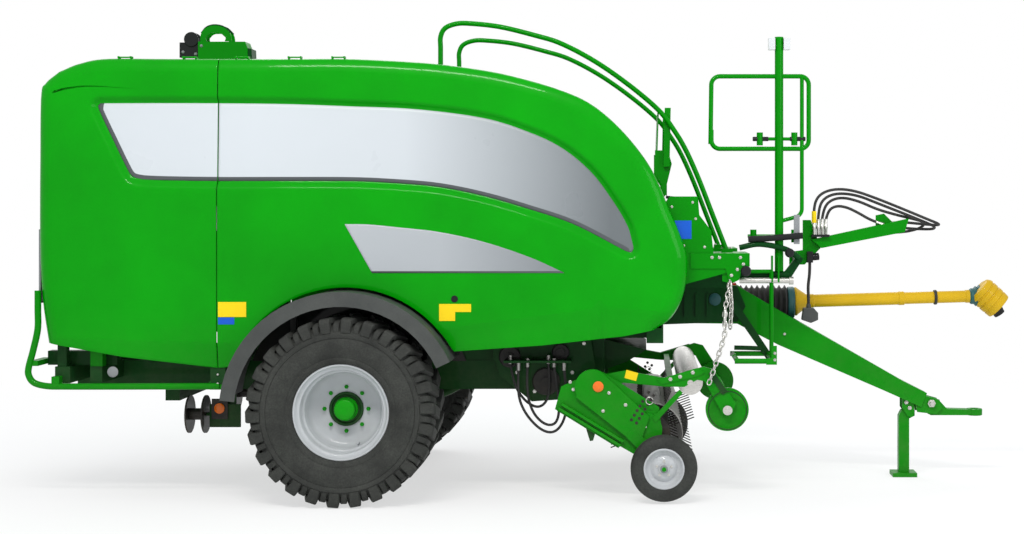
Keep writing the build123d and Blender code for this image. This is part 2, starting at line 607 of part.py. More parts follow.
REEL_X = 2030.0
REEL_Z = 440.0
REEL_DRUM_R = 120.0
REEL_SHAFT_R = 28.0
GUARD_PIVOT_X = 1730.0
GUARD_PIVOT_Z = 800.0
GUARD_PIN_R = 16.0
TINE_REACH = 300.0
BAND_R = 205.0
BAND_PITCH = 76.0
BAND_W = 48.0
BAND_COUNT = 27
PICKUP_Y = 1050.0
with BuildPart() as pickup_frame:
    for sy in (-1, 1):
        plate([(1420, 760), (1619, 849), (1699, 856), (2074, 622), (2090, 480), (1920, 300), (1378, 608)],
              sy * (PICKUP_Y - 6), sy * (PICKUP_Y + 6))
        rod_y(REEL_X, REEL_Z, REEL_SHAFT_R + PIN_GAP, sy * (PICKUP_Y - 10), sy * (PICKUP_Y + 10), mode=Mode.SUBTRACT)
        rod_y(GUARD_PIVOT_X, GUARD_PIVOT_Z, GUARD_PIN_R + PIN_GAP, sy * (PICKUP_Y - 10), sy * (PICKUP_Y + 10),
              mode=Mode.SUBTRACT)
        plate([(2030, 552), (2050, 520), (2232, 718), (2210, 740)], sy * (PICKUP_Y + 14), sy * (PICKUP_Y + 22))
        block(2040, 2070, sy * (PICKUP_Y + 6), sy * (PICKUP_Y + 14), 560, 585)
    rod_y(PIVOT_X, PIVOT_Z, PIVOT_R, -(PICKUP_Y - 6), PICKUP_Y - 6)
    block(1640, 1700, -(PICKUP_Y - 6), PICKUP_Y - 6, 560, 620)
pickup_frame.part.label = "pickup_frame"
export_step(pickup_frame.part, "parts/pickup_frame.step")

BAND_OUT = arc_points(REEL_X, REEL_Z, BAND_R, -75, 120, 14)
BAND_IN = arc_points(REEL_X, REEL_Z, BAND_R - 5, -75, 120, 14)
with BuildPart() as pickup_bands:
    for i in range(BAND_COUNT):
        y = (i - (BAND_COUNT - 1) / 2) * BAND_PITCH
        plate(BAND_OUT + [(1700, 617)] + [(1700, 611)] + BAND_IN[::-1], y - BAND_W / 2, y + BAND_W / 2)
pickup_bands.part.label = "pickup_bands"
export_step(pickup_bands.part, "parts/pickup_bands.step")

TINE_BARS = 4
TINE_ROOT = REEL_DRUM_R - 15
with BuildPart() as reel:
    rod_y(REEL_X, REEL_Z, REEL_DRUM_R, -1020, 1020)
    rod_y(REEL_X, REEL_Z, REEL_SHAFT_R, -(PICKUP_Y + 4), PICKUP_Y + 4)
    for i in range(BAND_COUNT - 1):
        y = (i - (BAND_COUNT - 2) / 2) * BAND_PITCH
        for k in range(TINE_BARS):
            angle = 2 * math.pi * (k + 0.5 * (i % 2)) / TINE_BARS + 0.35
            with Locations(Location((AXLE_X + REEL_X, y, REEL_Z), (0, -math.degrees(angle), 0))):
                with Locations(((TINE_REACH + TINE_ROOT) / 2, 0, 0)):
                    Box(TINE_REACH - TINE_ROOT, 7, 7)
reel.part.label = "reel"
export_step(reel.part, "parts/reel.step")

ROLLER_X = 2284.0
ROLLER_Z = 779.0
PRESS_X = 2533.0
PRESS_Z = 597.0
ARM_TOP = [(1700, 835), (1845, 862), (2108, 812), (2243, 845), (2371, 888), (2440, 870), (2590, 640)]
ARM_LOW = [(2560, 570), (2500, 570), (2380, 790), (2330, 800), (2243, 752), (2108, 755), (1845, 780), (1720, 765)]
ARM_Y = 985.0
with BuildPart() as wind_guard:
    for sy in (-1, 1):
        plate(ARM_TOP + ARM_LOW, sy * ARM_Y, sy * (ARM_Y + 30))
        rod_y(GUARD_PIVOT_X, GUARD_PIVOT_Z, GUARD_PIN_R, sy * (ARM_Y + 30), sy * (PICKUP_Y + 5))
        rod_y(ROLLER_X, ROLLER_Z, 20 + PIN_GAP, sy * (ARM_Y - 5), sy * (ARM_Y + 35), mode=Mode.SUBTRACT)
        rod_y(PRESS_X, PRESS_Z, 20 + PIN_GAP, sy * (ARM_Y - 5), sy * (ARM_Y + 35), mode=Mode.SUBTRACT)
    block(2130, 2170, -ARM_Y, ARM_Y, 765, 805)
wind_guard.part.label = "wind_guard"
export_step(wind_guard.part, "parts/wind_guard.step")

with BuildPart() as crop_roller:
    rod_y(ROLLER_X, ROLLER_Z, 85, -(ARM_Y - GAP), ARM_Y - GAP)
    rod_y(ROLLER_X, ROLLER_Z, 20, -(ARM_Y + 25), ARM_Y + 25)
crop_roller.part.label = "crop_roller"
export_step(crop_roller.part, "parts/crop_roller.step")

with BuildPart() as press_roller:
    rod_y(PRESS_X, PRESS_Z, 50, -(ARM_Y - GAP), ARM_Y - GAP)
    rod_y(PRESS_X, PRESS_Z, 20, -(ARM_Y + 40), ARM_Y + 40)
    for sy in (-1, 1):
        rod_y(PRESS_X, PRESS_Z, 145, sy * (ARM_Y - 45), sy * (ARM_Y - GAP))
press_roller.part.label = "press_roller"
export_step(press_roller.part, "parts/press_roller.step")

GAUGE_X = 2105.0
GAUGE_R = 222.0
GAUGE_Z = 234.0
GAUGE_Y0 = 1140.0
GAUGE_Y1 = 1240.0
with BuildPart() as gauge_arms:
    for sy in (-1, 1):
        plate([(1850, 430), (1930, 350), (2085, 205), (2125, 205), (2135, 255), (1960, 430), (1890, 470)],
              sy * (PICKUP_Y + 24), sy * (PICKUP_Y + 36))
        block(1870, 1930, sy * (PICKUP_Y + 6), sy * (PICKUP_Y + 24), 400, 430)
        rod_y(GAUGE_X, GAUGE_Z, 14, sy * (PICKUP_Y + 36), sy * (GAUGE_Y1 + 12))
gauge_arms.part.label = "gauge_arms"
export_step(gauge_arms.part, "parts/gauge_arms.step")


def gauge_wheel(sign):
    """Small tyre on a plain rim with a bore for the arm's stub."""
    mid = sign * (GAUGE_Y0 + GAUGE_Y1) / 2
    half = (GAUGE_Y1 - GAUGE_Y0) / 2
    section = [(120, -half + 12), (170, -half), (205, -half + 8), (GAUGE_R, -half + 30), (GAUGE_R, half - 30),
               (205, half - 8), (170, half), (120, half - 12), (110, half - 30), (44, half - 42), (44, half),
               (14 + PIN_GAP, half), (14 + PIN_GAP, -half), (44, -half), (44, half - 52), (110, -half + 30)]
    with BuildSketch(across(GAUGE_X)) as shape:
        Polygon(*[(mid + w, GAUGE_Z + r) for r, w in section], align=None)
    revolve(shape.sketch, axis=Axis((AXLE_X + GAUGE_X, 0, GAUGE_Z), (0, 1, 0)), revolution_arc=360)


with BuildPart() as gauge_wheel_right:
    gauge_wheel(-1)
gauge_wheel_right.part.label = "gauge_wheel_right"
export_step(gauge_wheel_right.part, "parts/gauge_wheel_right.step")

with BuildPart() as gauge_wheel_left:
    gauge_wheel(1)
gauge_wheel_left.part.label = "gauge_wheel_left"
export_step(gauge_wheel_left.part, "parts/gauge_wheel_left.step")


# ---------------------------------------------------------------- rear of the machine
RING_X0 = -1700.0
RING_X1 = -1645.0
RING_Z = 1872.0
RING_OUT = 950.0
RING_IN = 892.0
GUIDE_R = 40.0
GUIDE_GAP = 0.3
GUIDE_AT = (RING_OUT + GUIDE_R + GUIDE_GAP) / math.sqrt(2)
ROLL_AT = 852.0
ROLL_R = 98.0
ROLL_X0 = -1637.0
ROLL_X1 = -1137.0
SPINDLE_R = 37.5
GUIDE_POST_Y = 985.0

with BuildPart() as wrap_ring:
    rod_x(0, RING_Z, RING_OUT, RING_X0, RING_X1)
    rod_x(0, RING_Z, RING_IN, RING_X0, RING_X1, mode=Mode.SUBTRACT)
    for sy in (-1, 1):
        block(RING_X0 + 10, RING_X1 - 10, sy * (ROLL_AT - 60), sy * (RING_IN + 20), RING_Z - 90, RING_Z + 90)
        rod_x(sy * ROLL_AT, RING_Z, SPINDLE_R, RING_X1 - 20, ROLL_X1 + 15)
wrap_ring.part.label = "wrap_ring"
export_step(wrap_ring.part, "parts/wrap_ring.step")

with BuildPart() as film_rolls:
    for sy in (-1, 1):
        rod_x(sy * ROLL_AT, RING_Z, ROLL_R, ROLL_X0, ROLL_X1)
        rod_x(sy * ROLL_AT, RING_Z, 60, RING_X1, ROLL_X0)
        rod_x(sy * ROLL_AT, RING_Z, SPINDLE_R + 0.3, RING_X1 - 5, ROLL_X1 + 5, mode=Mode.SUBTRACT)
film_rolls.part.label = "film_rolls"
export_step(film_rolls.part, "parts/film_rolls.step")



def beam_low(x):
    """Height of the underside of the sloping roof beam at x."""
    return 2690 + (x + 1940) * (TOP_Z - SHEET - 60 - 2690) / (1940 - 1560)


with BuildPart() as ring_support:
    for sy in (-1, 1):
        plate([(GUIDE_POST_X0, RAIL_Z1), (GUIDE_POST_X1, RAIL_Z1), (GUIDE_POST_X1, beam_low(GUIDE_POST_X1)),
               (GUIDE_POST_X0, beam_low(GUIDE_POST_X0))], sy * GUIDE_POST_Y, sy * (GUIDE_POST_Y + 80))
        for z in (RING_Z - GUIDE_AT, RING_Z + GUIDE_AT):
            block(GUIDE_POST_X0, RING_X0 - 5, sy * (GUIDE_AT - 25), sy * GUIDE_POST_Y, z - 25, z + 25)
            rod_x(sy * GUIDE_AT, z, GUIDE_R, RING_X0, RING_X1)
            rod_x(sy * GUIDE_AT, z, 15, RING_X0 - 6, RING_X0)
ring_support.part.label = "ring_support"
export_step(ring_support.part, "parts/ring_support.step")

TROLL_R = 90.0
TROLL_Z = 1250.0
TROLL_FRONT = -945.0
TROLL_REAR = -1902.0
TABLE_Z0 = 850.0
TABLE_IN = 450.0
TABLE_OUT = 490.0
with BuildPart() as table_mounts:
    for sy in (-1, 1):
        plate([(TROLL_FRONT - 60, RAIL_Z1), (TROLL_FRONT + 60, RAIL_Z1), (TROLL_FRONT + 35, TROLL_Z + 45),
               (TROLL_FRONT - 35, TROLL_Z + 45)], sy * (RAIL_Y - 45), sy * (RAIL_Y - 15))
        rod_y(TROLL_FRONT, TROLL_Z, 20 + PIN_GAP, sy * (RAIL_Y - 50), sy * (RAIL_Y - 10), mode=Mode.SUBTRACT)
table_mounts.part.label = "table_mounts"
export_step(table_mounts.part, "parts/table_mounts.step")

with BuildPart() as wrap_table:
    for sy in (-1, 1):
        plate([(TROLL_REAR - 38, TABLE_Z0), (TROLL_REAR - 38, 1290), (TROLL_REAR + 38, 1290),
               (TROLL_REAR + 38, TABLE_Z0 + 80), (TROLL_FRONT - 38, TABLE_Z0 + 80), (TROLL_FRONT - 38, 1290),
               (TROLL_FRONT + 38, 1290), (TROLL_FRONT + 38, TABLE_Z0)],
              sy * TABLE_IN, sy * TABLE_OUT)
        rod_y(TROLL_FRONT, TROLL_Z, 20 + PIN_GAP, sy * (TABLE_IN - 5), sy * (TABLE_OUT - 2), mode=Mode.SUBTRACT)
        rod_y(TROLL_REAR, TROLL_Z, 20 + PIN_GAP, sy * (TABLE_IN - 5), sy * (TABLE_OUT - 2), mode=Mode.SUBTRACT)
        rod_y(TROLL_FRONT, TROLL_Z, 20, sy * (TABLE_OUT - 2), sy * (RAIL_Y - 17))
    for x in (TROLL_FRONT - 30, -1450, TROLL_REAR - 30):
        block(x, x + 60, -TABLE_IN, TABLE_IN, TABLE_Z0 + 10, TABLE_Z0 + 50)
wrap_table.part.label = "wrap_table"
export_step(wrap_table.part, "parts/wrap_table.step")

ROLLER_HALF = TABLE_IN - GAP
with BuildPart() as table_roller_front:
    rod_y(TROLL_FRONT, TROLL_Z, TROLL_R, -ROLLER_HALF, ROLLER_HALF)
    rod_y(TROLL_FRONT, TROLL_Z, 20, -(TABLE_OUT - 5), TABLE_OUT - 5)
table_roller_front.part.label = "table_roller_front"
export_step(table_roller_front.part, "parts/table_roller_front.step")

with BuildPart() as table_roller_rear:
    rod_y(TROLL_REAR, TROLL_Z, TROLL_R, -ROLLER_HALF, ROLLER_HALF)
    rod_y(TROLL_REAR, TROLL_Z, 20, -(TABLE_OUT - 5), TABLE_OUT - 5)
table_roller_rear.part.label = "table_roller_rear"
export_step(table_roller_rear.part, "parts/table_roller_rear.step")

GUARD_TUBE_R = 18.0
GUARD_Y = 1150.0
REAR_GUARD = [(-2072, 1405), (-2070, 1147), (GUARD_REAR + GUARD_TUBE_R, 880), (-2060, 767), (-820, 767)]
with BuildPart() as rear_guard:
    for sy in (-1, 1):
        tube([(x, sy * GUARD_Y, z) for x, z in REAR_GUARD], GUARD_TUBE_R, 60)
        block(-2112, -2043, sy * 880, sy * GUARD_Y, 905, 940)
        block(-1950, -1900, sy * 1090, sy * (GUARD_Y + 12), 765, 835)
        block(-890, -830, sy * (GUARD_Y - 14), sy * (GUARD_Y + 14), 765, 785)
rear_guard.part.label = "rear_guard"
export_step(rear_guard.part, "parts/rear_guard.step")

LENS_X = REAR_CURVE[-1][0] - 2     # the lenses stand behind the doors
with BuildPart() as rear_lamps:
    for sy in (-1, 1):
        block(LENS_X, -1885, sy * (POST_Y + 30), sy * (POST_Y + 40), 1320, 1810)
        block(LENS_X - 12, LENS_X, sy * (POST_Y + 30), sy * HINGE_Y, 1320, 1810)
rear_lamps.part.label = "rear_lamps"
export_step(rear_lamps.part, "parts/rear_lamps.step")

SPOOL_Y = 700.0
SPOOL_Z = 533.0
with BuildPart() as spool_bracket:
    for sy in (-1, 1):
        block(-1017, -805, sy * (SPOOL_Y - 10), sy * (SPOOL_Y + 10), 443, 601)
        block(-900, -840, sy * (SPOOL_Y - 30), sy * (SPOOL_Y - 10), 560, 785)
        rod_x(sy * SPOOL_Y, SPOOL_Z, 12, -1180, -1017)
spool_bracket.part.label = "spool_bracket"
export_step(spool_bracket.part, "parts/spool_bracket.step")


def spool(sign):
    """Two flanges on a sleeve that turns on the bracket's pin."""
    for x0, x1, r in ((-1160, -1148, 130), (-1148, -1050, 40), (-1050, -1038, 130)):
        rod_x(sign * SPOOL_Y, SPOOL_Z, r, x0, x1)
    rod_x(sign * SPOOL_Y, SPOOL_Z, 12 + PIN_GAP, -1165, -1030, mode=Mode.SUBTRACT)


with BuildPart() as spool_right:
    spool(-1)
spool_right.part.label = "spool_right"
export_step(spool_right.part, "parts/spool_right.step")

with BuildPart() as spool_left:
    spool(1)
spool_left.part.label = "spool_left"
export_step(spool_left.part, "parts/spool_left.step")
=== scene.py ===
# %% [markdown]
# # A round baler with a wrapper
# The solids of the machine come from the frame, already in place. This lesson dresses them: first the
# camera and the light, then the paints, then the pieces whose looks need a finer mesh than a solid has,
# such as the side doors with their silver bands, the tyres with their lugs, the chains and the hoses.

# %% Frame and helpers
import json
import math

import bmesh
import bpy
import numpy as np
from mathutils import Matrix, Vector


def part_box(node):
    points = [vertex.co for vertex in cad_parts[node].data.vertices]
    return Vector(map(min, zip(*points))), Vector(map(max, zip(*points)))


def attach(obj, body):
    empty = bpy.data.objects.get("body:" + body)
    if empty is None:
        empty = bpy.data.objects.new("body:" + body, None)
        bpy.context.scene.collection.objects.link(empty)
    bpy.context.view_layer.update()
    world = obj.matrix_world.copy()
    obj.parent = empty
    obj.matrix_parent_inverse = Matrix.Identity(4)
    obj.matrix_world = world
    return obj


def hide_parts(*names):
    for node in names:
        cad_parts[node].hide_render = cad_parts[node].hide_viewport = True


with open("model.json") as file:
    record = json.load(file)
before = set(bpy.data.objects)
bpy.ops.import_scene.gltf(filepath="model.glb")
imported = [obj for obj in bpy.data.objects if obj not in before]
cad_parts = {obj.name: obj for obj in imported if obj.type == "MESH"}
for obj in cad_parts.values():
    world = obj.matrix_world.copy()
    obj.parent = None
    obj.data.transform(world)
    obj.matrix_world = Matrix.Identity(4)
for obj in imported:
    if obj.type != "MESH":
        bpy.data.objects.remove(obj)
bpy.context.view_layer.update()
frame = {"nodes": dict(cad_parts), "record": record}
nodes = frame["nodes"]
axle_low, axle_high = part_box("axle")
AXLE_X = (axle_low.x + axle_high.x) / 2
HUB_Z = sum(v.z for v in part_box("tyre_right")) / 2
print("axle at", round(AXLE_X, 4), "hub height", round(HUB_Z, 4))

# %% [markdown]
# The camera stands level with the body, square to the machine's right side, a little ahead of its middle.
# It could be aimed at the machine with a constraint, but a level camera and a small lens shift frame it
# just as well and keep upright lines upright.

# %% Camera
CAMERA_AT = (AXLE_X + 1.960, -12.400, 1.952)
CAMERA_LENS = 59.7
CAMERA_SHIFT = (-0.127, -0.0576)


def add_camera():
    """A level camera that looks along +Y."""
    data = bpy.data.cameras.new("camera")
    data.lens = CAMERA_LENS
    data.sensor_width = 36.0
    data.shift_x, data.shift_y = CAMERA_SHIFT
    data.clip_end = 100.0
    camera = bpy.data.objects.new("camera", data)
    camera.location = CAMERA_AT
    camera.rotation_euler = (math.pi / 2, 0.0, 0.0)
    bpy.context.scene.collection.objects.link(camera)
    bpy.context.scene.camera = camera


add_camera()
print("camera at", [round(v, 3) for v in CAMERA_AT])

# %% [markdown]
# The studio is a white floor under a white sky. A sky as bright as it looks would wash out the paint, so
# only straight rays, mirror rays and rays through glass see plain white, and all other rays see a dimmer
# sky.

# %% White sky
SKY_STRENGTH = 0.80
WHITE_STRENGTH = 1.0


def seen_straight(tree):
    """1 for camera, glossy and transmission rays, which see the white background, and 0 for the rest."""
    path = tree.nodes.new("ShaderNodeLightPath")
    either = tree.nodes.new("ShaderNodeMath")
    either.operation = "MAXIMUM"
    both = tree.nodes.new("ShaderNodeMath")
    both.operation = "MAXIMUM"
    tree.links.new(path.outputs["Is Camera Ray"], either.inputs[0])
    tree.links.new(path.outputs["Is Glossy Ray"], either.inputs[1])
    tree.links.new(either.outputs[0], both.inputs[0])
    tree.links.new(path.outputs["Is Transmission Ray"], both.inputs[1])
    return both.outputs[0]


def build_world():
    """A pale sky that lights evenly and reads white behind the machine."""
    world = bpy.data.worlds.new("studio")
    bpy.context.scene.world = world
    world.use_nodes = True
    tree = world.node_tree
    tree.nodes.clear()
    dim = tree.nodes.new("ShaderNodeBackground")
    dim.inputs["Color"].default_value = (0.93, 0.96, 1.0, 1.0)
    dim.inputs["Strength"].default_value = SKY_STRENGTH
    seen = tree.nodes.new("ShaderNodeBackground")
    seen.inputs["Color"].default_value = (1.0, 1.0, 1.0, 1.0)
    seen.inputs["Strength"].default_value = WHITE_STRENGTH
    mix = tree.nodes.new("ShaderNodeMixShader")
    tree.links.new(seen_straight(tree), mix.inputs[0])
    tree.links.new(dim.outputs[0], mix.inputs[1])
    tree.links.new(seen.outputs[0], mix.inputs[2])
    out = tree.nodes.new("ShaderNodeOutputWorld")
    tree.links.new(mix.outputs[0], out.inputs["Surface"])


build_world()
print("sky", SKY_STRENGTH, "for light,", WHITE_STRENGTH, "to the eye")

# %% [markdown]
# The floor has to look white and still show the machine's shadow. That could be put together from two
# renders, but one material does it in one: plain white is mixed into an ordinary pale floor, in part around
# the machine and wholly further out, where the floor fades into the sky.

# %% Floor
FLOOR_HALF = 60.0
FADE_NEAR, FADE_FAR = 3.6, 9.0      # the shadow fades between these distances from the machine's middle
PLAIN_SHARE = 0.62                  # how much of the floor beside the machine is plain white, with no shadow


def fade_from_middle(tree, near, far):
    """0 within near metres of the machine's middle, 1 beyond far metres."""
    place = tree.nodes.new("ShaderNodeTexCoord")
    size = tree.nodes.new("ShaderNodeVectorMath")
    size.operation = "LENGTH"
    tree.links.new(place.outputs["Object"], size.inputs[0])
    spread = tree.nodes.new("ShaderNodeMapRange")
    spread.interpolation_type = "SMOOTHSTEP"
    spread.inputs["From Min"].default_value = near
    spread.inputs["From Max"].default_value = far
    tree.links.new(size.outputs["Value"], spread.inputs["Value"])
    return spread.outputs["Result"]


def add_floor():
    """A white floor far wider than the machine: white to the camera, but for a part of the machine's
    shadow."""
    mesh = bpy.data.meshes.new("floor")
    corners = [(x * FLOOR_HALF, y * FLOOR_HALF, 0.0) for x, y in ((-1, -1), (1, -1), (1, 1), (-1, 1))]
    mesh.from_pydata(corners, [], [(0, 1, 2, 3)])
    floor = bpy.data.objects.new("floor", mesh)
    bpy.context.scene.collection.objects.link(floor)
    finish = bpy.data.materials.new("floor_white")
    finish.use_nodes = True
    tree = finish.node_tree
    shader = tree.nodes["Principled BSDF"]
    shader.inputs["Base Color"].default_value = (0.9, 0.9, 0.9, 1.0)
    shader.inputs["Roughness"].default_value = 0.9
    shader.inputs["Specular IOR Level"].default_value = 0.0
    glow = tree.nodes.new("ShaderNodeEmission")
    glow.inputs["Strength"].default_value = WHITE_STRENGTH
    share = tree.nodes.new("ShaderNodeMapRange")
    share.inputs["To Min"].default_value = PLAIN_SHARE
    tree.links.new(fade_from_middle(tree, FADE_NEAR, FADE_FAR), share.inputs["Value"])
    weight = tree.nodes.new("ShaderNodeMath")
    weight.operation = "MULTIPLY"
    tree.links.new(seen_straight(tree), weight.inputs[0])
    tree.links.new(share.outputs["Result"], weight.inputs[1])
    mix = tree.nodes.new("ShaderNodeMixShader")
    tree.links.new(weight.outputs[0], mix.inputs[0])
    tree.links.new(shader.outputs[0], mix.inputs[1])
    tree.links.new(glow.outputs[0], mix.inputs[2])
    tree.links.new(mix.outputs[0], tree.nodes["Material Output"].inputs["Surface"])
    mesh.materials.append(finish)


add_floor()
print("floor", 2 * FLOOR_HALF, "m wide")

# %% [markdown]
# Three soft lamps give the paint its long highlights: a narrow one high on the camera's side, a fill from
# ahead of the machine, and one behind. They are area lamps, because the size of the lamp sets how soft a
# highlight and a shadow are.

# %% Lamps


def area_lamp(name, at, target, size, power, colour):
    """A rectangular soft lamp at a point, aimed at another."""
    data = bpy.data.lights.new(name, "AREA")
    data.shape = "RECTANGLE"
    data.size, data.size_y = size
    data.energy = power
    data.color = colour
    lamp = bpy.data.objects.new(name, data)
    lamp.location = at
    lamp.rotation_euler = (Vector(target) - Vector(at)).to_track_quat("-Z", "Y").to_euler()
    bpy.context.scene.collection.objects.link(lamp)


area_lamp("key", (-1.0, -7.5, 8.5), (0.2, 0.0, 1.3), (5.0, 0.9), 560, (1.0, 0.98, 0.94))
area_lamp("fill", (6.0, -5.5, 4.0), (0.5, 0.0, 1.2), (3.0, 3.0), 110, (0.95, 0.98, 1.0))
area_lamp("back", (0.0, 7.0, 6.5), (0.0, 0.0, 1.5), (8.0, 3.0), 300, (1.0, 1.0, 1.0))
view = bpy.context.scene.view_settings
view.view_transform = "Standard"
print("stage ready")

# %% [markdown]
# Every finish is a small node tree, and the same few nodes come back in all of them. They could be wired by
# hand, but with one helper for each the trees stay alike, and a finish reads as one short function.

# %% Nodes for finishes


def new_material(name):
    """An empty node material and its principled shader."""
    finish = bpy.data.materials.new(name)
    finish.use_nodes = True
    tree = finish.node_tree
    return finish, tree, tree.nodes["Principled BSDF"]


def object_noise(tree, scale, detail=4.0, rough=0.55, stretch=(1.0, 1.0, 1.0)):
    """Noise on object coordinates, so that it stays with the piece; stretch squeezes it along an axis."""
    place = tree.nodes.new("ShaderNodeTexCoord")
    turn = tree.nodes.new("ShaderNodeMapping")
    turn.inputs["Scale"].default_value = stretch
    noise = tree.nodes.new("ShaderNodeTexNoise")
    noise.inputs["Scale"].default_value = scale
    noise.inputs["Detail"].default_value = detail
    noise.inputs["Roughness"].default_value = rough
    tree.links.new(place.outputs["Object"], turn.inputs["Vector"])
    tree.links.new(turn.outputs[0], noise.inputs["Vector"])
    return noise.outputs["Fac"]


def ramp(tree, value, stops):
    """A colour ramp from a value; stops are (position, colour)."""
    node = tree.nodes.new("ShaderNodeValToRGB")
    elements = node.color_ramp.elements
    elements[0].position, elements[0].color = stops[0][0], (*stops[0][1], 1.0)
    elements[1].position, elements[1].color = stops[-1][0], (*stops[-1][1], 1.0)
    for position, colour in stops[1:-1]:
        element = elements.new(position)
        element.color = (*colour, 1.0)
    tree.links.new(value, node.inputs["Fac"])
    return node.outputs["Color"]


def level(tree, value, low, high):
    """A number between low and high that follows a value from 0.3 to 0.7."""
    node = tree.nodes.new("ShaderNodeMapRange")
    node.inputs["From Min"].default_value = 0.3
    node.inputs["From Max"].default_value = 0.7
    node.inputs["To Min"].default_value = low
    node.inputs["To Max"].default_value = high
    tree.links.new(value, node.inputs["Value"])
    return node.outputs["Result"]


def bump(tree, shader, value, strength, distance):
    """Relief from a value, distance in metres."""
    node = tree.nodes.new("ShaderNodeBump")
    node.inputs["Strength"].default_value = strength
    node.inputs["Distance"].default_value = distance
    tree.links.new(value, node.inputs["Height"])
    tree.links.new(node.outputs["Normal"], shader.inputs["Normal"])


def shade(colour, factor):
    """A colour made darker or lighter."""
    return tuple(min(1.0, c * factor) for c in colour)


def mixed(tree, factor, low, high):
    """A colour between two others, by a factor socket."""
    node = tree.nodes.new("ShaderNodeMix")
    node.data_type = "RGBA"
    tree.links.new(factor, node.inputs["Factor"])
    for socket, value in ((node.inputs[6], low), (node.inputs[7], high)):
        if isinstance(value, tuple):
            socket.default_value = (*value, 1.0)
        else:
            tree.links.new(value, socket)
    return node.outputs[2]


print("node helpers ready")

# %% [markdown]
# Most of the machine wears one bright green paint. One flat colour would look like plastic: a painted sheet
# is a glossy coat over a base whose colour drifts a little, with fine orange peel in the coat and a thin
# film of dust low down. One function makes all the paints, and each paint only says its colour, its gloss
# and how worn it is.

# %% Paint
GREEN = (0.0, 0.275, 0.001)
# near-black green, used as painted shade for the solids under and behind the body
DARK_GREEN_AND_SHADE = (0.002, 0.050, 0.008)
DUST = (0.16, 0.13, 0.09)
DUST_TOP, DUST_FULL = 1.3, 0.2      # heights where the dust starts and where it is thickest
PEEL_SCALE = 260.0


def paint(name, colour, rough=0.32, coat=0.15, drift=0.10, dust=0.12, peel=0.02):
    """Gloss paint: a base whose colour drifts, a clear coat, faint orange peel, and dust that gathers low
    down."""
    finish, tree, shader = new_material(name)
    broad = object_noise(tree, 1.7)
    base = ramp(tree, broad, [(0.3, shade(colour, 1.0 - drift)), (0.7, shade(colour, 1.0 + drift))])
    place = tree.nodes.new("ShaderNodeTexCoord")
    split = tree.nodes.new("ShaderNodeSeparateXYZ")
    tree.links.new(place.outputs["Object"], split.inputs[0])
    low = tree.nodes.new("ShaderNodeMapRange")
    low.inputs["From Min"].default_value = DUST_TOP
    low.inputs["From Max"].default_value = DUST_FULL
    low.inputs["To Min"].default_value = 0.0
    low.inputs["To Max"].default_value = dust
    tree.links.new(split.outputs["Z"], low.inputs["Value"])
    grime = object_noise(tree, 9.0, 6.0, 0.7)
    spread = tree.nodes.new("ShaderNodeMath")
    spread.operation = "MULTIPLY"
    tree.links.new(low.outputs["Result"], spread.inputs[0])
    tree.links.new(level(tree, grime, 0.1, 1.0), spread.inputs[1])
    tree.links.new(mixed(tree, spread.outputs[0], base, DUST), shader.inputs["Base Color"])
    tree.links.new(level(tree, grime, rough * 0.85, rough * 1.25), shader.inputs["Roughness"])
    shader.inputs["Specular IOR Level"].default_value = 0.05
    shader.inputs["Coat Weight"].default_value = coat
    shader.inputs["Coat Roughness"].default_value = 0.06
    bump(tree, shader, object_noise(tree, PEEL_SCALE, 2.0), peel, 0.0004)
    return finish


panel_green = paint("panel_green", GREEN)
frame_green = paint("frame_green", shade(GREEN, 0.78), rough=0.38, coat=0.10, dust=0.15)
# near-black green paint: painted shade on the solids under and behind the body
dark_green_and_shade = paint("dark_green_and_shade", DARK_GREEN_AND_SHADE, rough=0.42, coat=0.08, dust=0.25)
silver_paint = paint("silver_paint", (0.60, 0.62, 0.64), rough=0.30, coat=0.5, drift=0.05)
rim_silver = paint("rim_silver", (0.46, 0.48, 0.50), rough=0.30, coat=0.4, drift=0.07, dust=0.2)
grey_paint = paint("grey_paint", (0.24, 0.25, 0.26), rough=0.42, coat=0.2)
# black paint, and painted shade on the reel, spools, arch liners, floor covers and pick-up holes
black_paint_and_shade = paint("black_paint_and_shade", (0.014, 0.015, 0.016), rough=0.42, coat=0.2, dust=0.35)
guard_yellow = paint("guard_yellow", (0.58, 0.36, 0.012), rough=0.40, dust=0.3, peel=0.1)
gearbox_red = paint("gearbox_red", (0.42, 0.02, 0.012), rough=0.4, coat=0.3)
print("paints", len(bpy.data.materials))

# %% [markdown]
# Rubber and moulded plastic have no coat: they are rough, with a fine grain, and the dust in the grain
# turns black to a warm grey. Painted dust would need a picture for each piece, while two noises multiplied
# give patches and grain anywhere. Bare steel is a metal whose roughness is streaked along the piece.

# %% Rubber, plastic and steel


def rubber(name, colour, dust, grain=90.0, depth=0.0012, rough=0.78):
    """Dusty rubber: black with pale dust in patches, and a fine uneven grain."""
    finish, tree, shader = new_material(name)
    patches = object_noise(tree, 5.0, 8.0, 0.65)
    fine = object_noise(tree, grain, 6.0, 0.7)
    both = tree.nodes.new("ShaderNodeMath")
    both.operation = "MULTIPLY"
    tree.links.new(patches, both.inputs[0])
    tree.links.new(fine, both.inputs[1])
    tree.links.new(ramp(tree, both.outputs[0], [(0.12, colour), (0.42, dust)]), shader.inputs["Base Color"])
    tree.links.new(level(tree, fine, rough - 0.08, rough + 0.08), shader.inputs["Roughness"])
    shader.inputs["Specular IOR Level"].default_value = 0.35
    bump(tree, shader, fine, 0.35, depth)
    return finish


